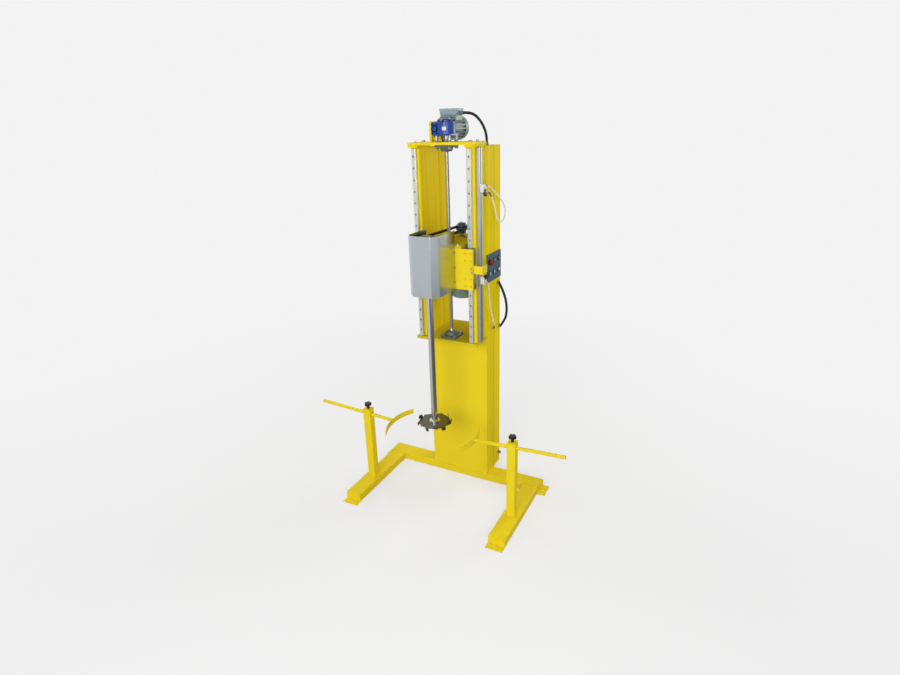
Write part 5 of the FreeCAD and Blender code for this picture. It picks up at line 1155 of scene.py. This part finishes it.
@dataclass
class Carriage(Assembly):
    """Carriage plate, motor shelf and switch dog."""

    plate_front: float = 373.0
    rail_x: float = 160.0
    block_heights: Pair = (1350.5, 1487.5)
    shelf_top: float = 1545.0
    rib: float = 104.5
    rib_back: float = 706.0
    rib_low: float = 1336.0
    shelf_screws: tuple[float, ...] = (-100.0, -55.0, 55.0, 100.0)
    dog_x: float = 182.0
    dog_screws: Pair = (1408.0, 1429.0)
    motor_y: float = 635.0
    finishes: ClassVar[dict[str, Finish]] = {
        "carriage_plate": Shop.YELLOW, "switch_dog": Shop.YELLOW, "motor_plate": Shop.SHADED_TOP_YELLOW}

    def build(self) -> None:
        """Add the block, shelf, dog and motor screws, and the rib welds."""
        blocks = [(side * self.rail_x, self.plate_front, height) for side in SIDES for height in self.block_heights]
        places = [place for middle in blocks for place in corners(middle, FRONT, 17.0, 20.0)]
        Screw(Head.SOCKET, 8.0).row("block_screws", places, "carriage", Shop.YELLOW)
        shelf = [((x, 380.0, self.shelf_top), UP) for x in self.shelf_screws]
        Screw(Head.SOCKET, 8.0).row("shelf_screws", shelf, "carriage")
        dog = [((self.dog_x, self.plate_front, z), FRONT) for z in self.dog_screws]
        Screw(Head.HEX, 6.0).row("dog_screws", dog, "carriage")
        motor = corners((0.0, self.motor_y, self.shelf_top), UP, 46.0)
        Screw(Head.HEX, 10.0).row("motor_bolts", motor, "carriage")
        weld_group("rib_welds", both_sides([
            Weld((self.rib, 392, 1528.5), (self.rib, self.rib_back, 1528.5), 2.5),
            Weld((self.rib, 387.5, self.rib_low), (self.rib, 387.5, 1526), 2.5)]), "carriage")


@dataclass
class MainMotor(Assembly):
    """Main motor that hangs under the shelf."""

    y: float = 635.0
    lid: Triple = (0.0, 748.0, 1454.0)
    cowl_radius: float = 71.3
    cowl_screws: float = 1264.0
    finishes: ClassVar[dict[str, Finish]] = {
        "main_motor_body": Shop.MOTOR_GREY, "main_motor_box": Shop.MOTOR_GREY, "main_motor_cowl": Shop.MOTOR_GREY,
        "motor_shaft": Shop.BLOCK_STEEL}

    def build(self) -> None:
        """Add the lid's screws, and the cowl's, which face outwards."""
        Screw(Head.PAN, 5.0).row("motor_lid_screws", corners(self.lid, BACK, 37.0, 38.0), "carriage")
        middle = Vector((0.0, self.y, self.cowl_screws))
        spots = [point for point, _ in ring(tuple(middle), UP, self.cowl_radius, range(45, 405, 90))]
        cowl = [(point, tuple((Vector(point) - middle).normalized())) for point in spots]
        Screw(Head.PAN, 4.0).row("cowl_screws", cowl, "carriage")


@dataclass
class BeltDrive(Assembly):
    """Pulleys and belt."""

    motor_y: float = 635.0
    pulley_top: float = 1607.0
    finishes: ClassVar[dict[str, Finish]] = {
        "motor_pulley": Shop.PULLEY_BLUE, "spindle_pulley": Shop.PULLEY_BLUE, "drive_belt": Shop.BELT}

    def build(self) -> None:
        """Add the motor pulley's clamping bush with its screws and the shaft's end bolt."""
        y, z = self.motor_y, self.pulley_top
        turned("motor_pulley_bush", [
            (0.0, -0.5), (24.0, -0.5), (24.0, 9.0), (22.0, 11.0), (17.0, 11.0), (16.0, 13.0), (11.0, 13.0),
            (10.0, 11.5), (0.0, 11.5)], 40, ((0.0, y, z), UP), "motor_rotor", Shop.PULLEY_BLUE)
        screws = ring((0.0, y, z + 11.0), UP, 19.5, range(20, 380, 120))
        Screw(Head.SOCKET, 3.5).row("bush_screws", screws, "motor_rotor", Shop.BLACK_OXIDE)
        Screw(Head.HEX, 8.0).row("motor_shaft_bolt", [((0.0, y, z + 11.5), UP)], "motor_rotor")


@dataclass
class Spindle(Assembly):
    """Spindle housing, shaft, disc and guard."""

    guard_half: float = 86.0
    guard_front: float = 158.0
    guard_back: float = 373.0
    guard_low: float = 1308.0
    guard_high: float = 1625.0
    fold: float = 30.0
    bend: float = 2.0
    sheet: float = 3.0
    guard_screw_y: float = 360.0
    guard_screws: Triple = (1350.0, 1430.0, 1512.0)
    housing_half: float = 72.0
    housing_y: float = 348.0
    housing_screws: Triple = (1356.0, 1435.0, 1514.0)
    finishes: ClassVar[dict[str, Finish]] = {
        "spindle_housing": Shop.CAST_GREEN, "spindle_bearings": Shop.BLOCK_STEEL, "mixing_shaft": Shop.CHROME,
        "mixing_disc": Shop.DISC_STEEL, "belt_guard": Shop.STAINLESS}

    def guard(self) -> Piece:
        """Fold the guard from one sheet, with real bend radii.

        Returns:
            The guard: two sides, two slanting folds and a front, open above, below and behind.
        """
        half, near = self.guard_half, 0.1
        sheet = block((-half, self.guard_front, self.guard_low), (half, self.guard_back, self.guard_high))
        pick(sheet, "FACE", lambda middle, normal: abs(normal.z) > 0.5 or normal.y > 0.5)
        bpy.ops.mesh.delete(type="FACE")
        front, back = (self.guard_front + near) * MM, (self.guard_back - near) * MM
        pick(sheet, "EDGE", lambda middle, run: abs(run.z) > 0.9 and middle.y < front)
        bpy.ops.mesh.bevel(offset=self.fold * MM, offset_type="OFFSET", segments=1)
        pick(sheet, "EDGE", lambda middle, run: abs(run.z) > 0.9 and middle.y < back)
        bpy.ops.mesh.bevel(offset=self.bend * MM, segments=2)
        bpy.ops.mesh.select_all(action="SELECT")
        bpy.ops.mesh.normals_make_consistent(inside=False)
        finish_edit()
        modify(sheet, "SOLIDIFY", thickness=self.sheet * MM, offset=-1.0)
        modify(sheet, "BEVEL", width=0.0004, segments=1, limit_method="ANGLE", angle_limit=math.radians(60))
        return sheet

    def build(self) -> None:
        """Replace the guard and add the screws."""
        guard = settled(self.guard(), "folded_guard", 8.0)
        fit(guard, "carriage", Shop.STAINLESS, ("belt_guard",))
        sides = [
            ((side * self.guard_half, self.guard_screw_y, z), (float(side), 0.0, 0.0))
            for side in SIDES for z in self.guard_screws]
        Screw(Head.PAN, 6.0).row("guard_screws", sides, "carriage")
        housing = [
            ((side * self.housing_half, self.housing_y, z), FRONT) for side in SIDES for z in self.housing_screws]
        Screw(Head.SOCKET, 10.0).row("housing_screws", housing, "carriage")


@dataclass
class LimitSwitches(Assembly):
    """Slotted strip, switch cases, levers and their screws."""

    face: float = 222.0
    y: float = 475.0
    screw_heights: tuple[float, ...] = (1849.5, 1817.5, 1363.5, 1331.5)
    finishes: ClassVar[dict[str, Finish]] = {
        "switch_profile": Shop.ALUMINIUM, "limit_switches": Shop.WHITE, "upper_switch_lever": Shop.BLACK,
        "lower_switch_lever": Shop.BLACK}

    def build(self) -> None:
        """Add the cases' cover screws."""
        screws = [((self.face, self.y, z), RIGHT) for z in self.screw_heights]
        Screw(Head.PAN, 3.0).row("switch_screws", screws, "frame")


@dataclass
class DrumClamps(Assembly):
    """Posts, clamp rods with pads, and star knobs."""

    leg: float = 473.0
    leg_top: float = 50.0
    post_y: float = 243.0
    half: float = 25.0
    knob_top: float = 561.0
    finishes: ClassVar[dict[str, Finish]] = {
        **dict.fromkeys(("left_post", "right_post", "left_clamp", "right_clamp"), Shop.YELLOW),
        **dict.fromkeys(("left_knob", "right_knob"), Shop.BLACK)}

    def build(self) -> None:
        """Add the posts' welds and the knobs' caps."""
        low, high, top = self.leg - self.half, self.leg + self.half, self.leg_top
        front, back = self.post_y - self.half, self.post_y + self.half
        weld_group("post_welds", both_sides([
            *(Weld((low + 3, y, top), (high - 3, y, top)) for y in (front, back)),
            *(Weld((x, front + 3, top), (x, back - 3, top)) for x in (low, high))]), "frame")
        for side, body in zip(SIDES, ("left_knob", "right_knob")):
            turned(body + "_cap", [
                (0.0, -1.0), (7.5, -1.0), (7.5, 0.3), (6.6, 0.9), (2.0, 1.2), (0.0, 1.2)], 32,
                ((side * self.leg, self.post_y, self.knob_top), UP), body, Shop.BLACK, 38.0)


@dataclass
class ControlPanel(Assembly):
    """Control box on the column's side with its heads."""

    middle: Triple = (198.0, 645.0, 1382.5)
    spread: Pair = (88.0, 71.5)
    bezel_face: float = 204.0
    lamp: Pair = (698.0, 1355.0)
    buttons: ClassVar[dict[str, Pair]] = {"start_button": (636.0, 1421.0), "stop_button": (698.0, 1421.0)}
    finishes: ClassVar[dict[str, Finish]] = {
        "control_box": Shop.PANEL_BLUE, "control_bezels": Shop.BLACK, "start_button": Shop.START_TEAL,
        "stop_button": Shop.BLACK, "raise_button": Shop.HIGHLIGHT_GREY, "lower_button": Shop.HIGHLIGHT_GREY,
        "emergency_stop": Shop.PANEL_RED}

    def build(self) -> None:
        """Add the lid's screws, the lamp's lens, and light grey raised discs on the start and stop caps, which are a
        painted highlight.
        """
        Screw(Head.PAN, 4.0).row("panel_screws", corners(self.middle, RIGHT, *self.spread), "frame")
        turned("lamp_lens", [
            (0.0, -1.0), (10.2, -1.0), (10.2, 0.6), (9.0, 2.6), (5.5, 4.2), (0.0, 4.8)], 32,
            ((self.bezel_face, *self.lamp), RIGHT), "frame", Shop.LAMP, 40.0)
        # Each light grey disc is a painted highlight at the middle of its button.
        for body, spot in self.buttons.items():
            turned(body + "_disc", [
                (0.0, -0.6), (6.4, -0.6), (6.4, 0.5), (5.8, 0.9), (1.5, 0.7), (0.0, 0.7)], 28,
                ((self.bezel_face, *spot), RIGHT), body, Shop.HIGHLIGHT_GREY, 40.0)


@dataclass
class Cord:
    """Free cord between two glands, along the points of its route in metres."""

    name: str
    node: str
    route: Sequence[Triple]
    diameter: float
    length: float
    stiffness: str
    finish: Finish
    slot: str

    def curve(self, thick: bool) -> Piece:
        """Make the route's smooth line.

        Args:
            thick: whether it gets the cord's thickness.

        Returns:
            The line as a curve.
        """
        data = bpy.data.curves.new(self.name, "CURVE")
        data.dimensions = "3D"
        data.resolution_u = 24
        line = data.splines.new("NURBS")
        line.points.add(len(self.route) - 1)
        for point, place in zip(line.points, self.route):
            point.co = (*place, 1.0)
        line.order_u = 3
        line.use_endpoint_u = True
        if thick:
            data.bevel_depth = self.diameter / 2
            data.bevel_resolution = 6
            data.use_fill_caps = True
        return linked(self.name, data)

    def finish_off(self, piece: Piece, path: Optional[list[Triple]] = None) -> Piece:
        """Give the cord its finish and its body, and log its length.

        Args:
            piece: the cord as a curve or a mesh.
            path: the points that a mesh follows; not used.

        Returns:
            The same piece.
        """
        piece.data.materials.append(self.finish.material())
        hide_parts(self.node)
        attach(piece, "frame")
        log.info("%s: cord of %.3f m", piece.name, self.length)
        return piece

    def build(self) -> Piece:
        """Make a smooth cable."""
        return self.finish_off(self.curve(True))


@dataclass
class CorrugatedConduit(Cord):
    """Cord whose wall is ribbed all along."""

    rib: float = 0.0032
    valley: float = 0.84
    sides: int = 20

    def points(self) -> list[Vector]:
        """Read the smooth line's points, evenly spaced.

        Returns:
            Four points for each rib, from end to end.
        """
        line = self.curve(False)
        mesh = bpy.data.meshes.new_from_object(line)
        path = [vertex.co.copy() for vertex in mesh.vertices]
        bpy.data.objects.remove(line)
        bpy.data.meshes.remove(mesh)
        step = self.rib / 4
        even, carried = [path[0]], 0.0
        for before, after in zip(path, path[1:]):
            run = (after - before).length
            while run > 0 and carried + run >= step:
                before = before.lerp(after, (step - carried) / run)
                even.append(before.copy())
                run = (after - before).length
                carried = 0.0
            carried += run
        return [*even, path[-1]]

    def build(self) -> Piece:
        """Set rings of ribs and valleys along the line and skin them.

        Returns:
            The conduit.
        """
        path, count = self.points(), self.sides
        vertices: list[Vector] = []
        side = Vector(UP).cross(path[1] - path[0])
        side = side.normalized() if side.length > MERGE else Vector(RIGHT)
        for number, point in enumerate(path):
            run = (path[min(number + 1, len(path) - 1)] - path[max(number - 1, 0)]).normalized()
            side = (side - run * side.dot(run)).normalized()
            radius = self.diameter / 2 * (1.0 if number % 4 in (0, 1) else self.valley)
            for i in range(count):
                angle = 2 * math.pi * i / count
                vertices.append(point + (side * math.cos(angle) + run.cross(side) * math.sin(angle)) * radius)
        faces = [
            (a + i, a + (i + 1) % count, a + count + (i + 1) % count, a + count + i)
            for a in range(0, (len(path) - 1) * count, count) for i in range(count)]
        ends = [tuple(range(count))[::-1], tuple(range(len(vertices) - count, len(vertices)))]
        mesh = bpy.data.meshes.new(self.name)
        mesh.from_pydata(vertices, [], [*faces, *ends])
        return self.finish_off(settled(linked(self.name, mesh), self.name, 60.0), [tuple(p) for p in path])


@dataclass
class Cords(Assembly):
    """All cords, their glands and strain reliefs."""

    lift: tuple[Triple, ...] = (
        (0.032, 0.620, 2.200), (0.066, 0.620, 2.200), (0.102, 0.622, 2.185), (0.132, 0.624, 2.152),
        (0.152, 0.625, 2.115), (0.162, 0.625, 2.078), (0.162, 0.625, 2.050))
    panel: tuple[Triple, ...] = (
        (0.199, 0.708, 1.272), (0.212, 0.718, 1.238), (0.222, 0.736, 1.192), (0.229, 0.752, 1.140),
        (0.230, 0.758, 1.084), (0.222, 0.752, 1.030), (0.199, 0.733, 0.995))
    upper: tuple[Triple, ...] = (
        (0.211, 0.491, 1.846), (0.215, 0.532, 1.838), (0.223, 0.590, 1.802), (0.232, 0.658, 1.752),
        (0.236, 0.698, 1.715), (0.237, 0.706, 1.688), (0.237, 0.700, 1.661), (0.236, 0.681, 1.640),
        (0.234, 0.655, 1.631), (0.232, 0.627, 1.637), (0.229, 0.606, 1.655), (0.225, 0.590, 1.700),
        (0.220, 0.582, 1.750), (0.198, 0.579, 1.796))
    lower: tuple[Triple, ...] = (
        (0.211, 0.491, 1.334), (0.211, 0.516, 1.324), (0.210, 0.534, 1.282), (0.205, 0.553, 1.224),
        (0.204, 0.570, 1.152), (0.207, 0.596, 1.086), (0.209, 0.620, 1.038), (0.198, 0.636, 1.012))
    finishes: ClassVar[dict[str, Finish]] = {
        "cable_glands": Shop.GLAND_GREY, "lift_motor_conduit": Shop.CONDUIT, "panel_conduit": Shop.CONDUIT,
        "upper_switch_cable": Shop.GREY_CABLE, "lower_switch_cable": Shop.GREY_CABLE}

    def build(self) -> None:
        """Lay the four cords and their strain reliefs."""
        ribbed = {"diameter": 0.015, "stiffness": "medium", "finish": Shop.CONDUIT, "slot": "black_plastic"}
        plain = {"diameter": 0.007, "stiffness": "medium", "finish": Shop.GREY_CABLE, "slot": "cable_grey"}
        CorrugatedConduit("lift_conduit", "lift_motor_conduit", self.lift, length=0.225, **ribbed).build()
        CorrugatedConduit("box_conduit", "panel_conduit", self.panel, length=0.299, **ribbed).build()
        Cord("upper_cable", "upper_switch_cable", self.upper, length=0.563, **plain).build()
        Cord("lower_cable", "lower_switch_cable", self.lower, length=0.363, **plain).build()
        self.reliefs()

    def reliefs(self) -> None:
        """Model the tapered boots where the thin cables leave and enter."""
        boot = lathed([
            (3.6, -1.0), (5.2, -1.0), (5.4, 1.5), (4.9, 3.0), (5.0, 6.0), (4.5, 7.5), (4.6, 11.0), (4.1, 12.5),
            (4.2, 16.0), (3.7, 22.0), (3.55, 22.0), (3.6, -1.0)], 24)
        ends = [pair for route in (self.upper, self.lower) for pair in (route[:2], route[:-3:-1])]
        places = [
            (tuple(c / MM for c in end), tuple((Vector(inner) - Vector(end)).normalized())) for end, inner in ends]
        fit(settled(copies(boot, places), "cable_boots"), "frame", Shop.GLAND_GREY)


@dataclass
class Studio:
    """Plain floor, soft lamps and the photograph's camera, all in metres."""

    location: Triple = (1.438417, -2.287239, 2.156011)
    yaw: float = 0.4837
    pitch: float = -0.3615
    roll: float = -0.0297
    lens: float = 22.79
    paper: Triple = (0.95, 0.95, 0.95)
    daylight: float = 0.32
    lamps: ClassVar[dict[str, tuple[Triple, Triple, float, float]]] = {
        "key_lamp": ((0.4, -4.7, 3.0), (0.0, 0.4, 1.3), 2.4, 128.0),
        "top_lamp": ((0.0, 0.2, 5.2), (0.0, 0.4, 1.0), 2.2, 24.0),
        "side_lamp": ((2.8, -3.2, 1.9), (0.0, 0.4, 1.3), 2.0, 48.0),
        "back_lamp": ((2.6, 4.4, 2.6), (0.0, 0.4, 1.1), 2.4, 84.0),
        "left_lamp": ((-4.3, 1.2, 2.8), (0.0, 0.4, 1.1), 2.4, 60.0)}

    def camera(self) -> None:
        """Set the camera where the photograph was taken from."""
        level = Vector((math.cos(self.yaw), math.sin(self.yaw), 0.0))
        flat = Vector((-level.y, level.x, 0.0))
        ahead = flat * math.cos(self.pitch) + Vector(UP) * math.sin(self.pitch)
        rise = level.cross(ahead)
        right = math.cos(self.roll) * level + math.sin(self.roll) * rise
        up = -math.sin(self.roll) * level + math.cos(self.roll) * rise
        lens = bpy.data.cameras.new("photo_camera")
        lens.lens = self.lens
        lens.sensor_width = 36.0
        lens.sensor_fit = "HORIZONTAL"
        eye = linked("photo_camera", lens)
        eye.matrix_world = Matrix.Translation(Vector(self.location)) @ Matrix((right, up, -ahead)).transposed().to_4x4()
        bpy.context.scene.camera = eye

    def light(self) -> None:
        """Hang the square soft lamps, each by its place, aim, side and watts."""
        for name, (place, aim, side, power) in self.lamps.items():
            data = bpy.data.lights.new(name, "AREA")
            data.size, data.energy = side, power
            lamp = linked(name, data)
            lamp.location = place
            lamp.rotation_euler = (Vector(aim) - Vector(place)).to_track_quat("-Z", "Y").to_euler()

    def floor(self) -> None:
        """Lay a pale floor that keeps the shadow and fades into the background, and shows glossy rays a painted
        reflection: a pale glow to the left and far off, and painted dark shade towards the right.
        """
        choose()
        bpy.ops.mesh.primitive_plane_add(size=60.0, location=(0.0, 0.0, -0.0005))
        floor = bpy.context.object
        floor.name = "studio_floor"
        graph = Graph("studio_floor")
        away = graph.add("VectorMath", {0: graph.place}, "Value", operation="LENGTH")
        x, rays = graph.axes(graph.place)[0], graph.rays()
        seen, gloss = rays["Is Camera Ray"], rays["Is Glossy Ray"]
        shown = graph.maths("MULTIPLY", graph.span(away, 0.6, 1.0, 0.8, 4.0), seen)
        # Painted reflection for glossy rays: a pale glow to the left and far off, then the floor's colour darkened
        # towards +X as painted dark shade.
        pale = graph.maths("MAXIMUM", graph.span(x, 1.0, 0.0, -1.0, 1.5), graph.span(x, 0.0, 0.8, 2.6, 4.4))
        mirrored = graph.maths("MULTIPLY", graph.span(away, 0.0, 0.9, 1.6, 5.0), pale)
        far = graph.maths("MAXIMUM", shown, graph.maths("MULTIPLY", mirrored, gloss))
        glow = graph.add("Emission", {"Color": linear(self.paper)})
        graph.show(graph.mixed(far, graph.shader.outputs["BSDF"], glow))
        paint = graph.blended(graph.noise(1.3), (0.94, 0.94, 0.94), (0.955, 0.955, 0.955))
        painted_dark_share = graph.maths("MULTIPLY", graph.span(x, 0.0, 1.0, -0.6, 0.9), gloss)
        room = graph.blended(painted_dark_share, (0.82, 0.82, 0.82), (0.34, 0.34, 0.34))
        graph.surface(Base_Color=graph.blended(seen, room, paint), Roughness=0.9)
        floor.data.materials.append(graph.material)

    def world(self) -> None:
        """Light all round evenly, and show pale paper to the camera and a shaded room to gloss."""
        world = bpy.data.worlds.new("studio")
        bpy.context.scene.world = world
        world.use_nodes = True
        tree = Nodes(world.node_tree, "ShaderNodeOutputWorld")
        rays, x = tree.rays(), tree.axes(tree.add("TexCoord", {}, "Generated"))[0]
        clear = tree.maths("MAXIMUM", rays["Is Camera Ray"], rays["Is Transmission Ray"])
        room = tree.maths("MAXIMUM", tree.span(x, 1.0, 0.3, -0.2, 0.5), tree.span(x, 0.0, 0.85, 0.68, 0.86))
        light = tree.add("Background", {"Color": (1.0, 1.0, 1.0, 1.0), "Strength": self.daylight})
        paper = tree.add("Background", {"Color": linear(self.paper), "Strength": tree.maths("MAXIMUM", clear, room)})
        tree.show(tree.mixed(tree.maths("MAXIMUM", clear, rays["Is Glossy Ray"]), light, paper))

    def build(self) -> None:
        """Set up camera, floor, world, lamps and colour management."""
        self.camera()
        self.floor()
        self.world()
        self.light()
        bpy.context.scene.view_settings.view_transform = "Standard"


def main() -> None:
    """Build and dress the whole machine."""
    logging.basicConfig(level=logging.INFO, format="%(name)s: %(message)s")
    Studio().build()
    for part in (
            Cords(), FloorFrame(), Column(), LinearGuides(), LiftScrew(), LiftGear(), Carriage(), MainMotor(),
            BeltDrive(), Spindle(), LimitSwitches(), DrumClamps(), ControlPanel()):
        part.dress()
        part.build()
        log.info("%s is done", type(part).__name__)


if __name__ == "__main__":
    main()
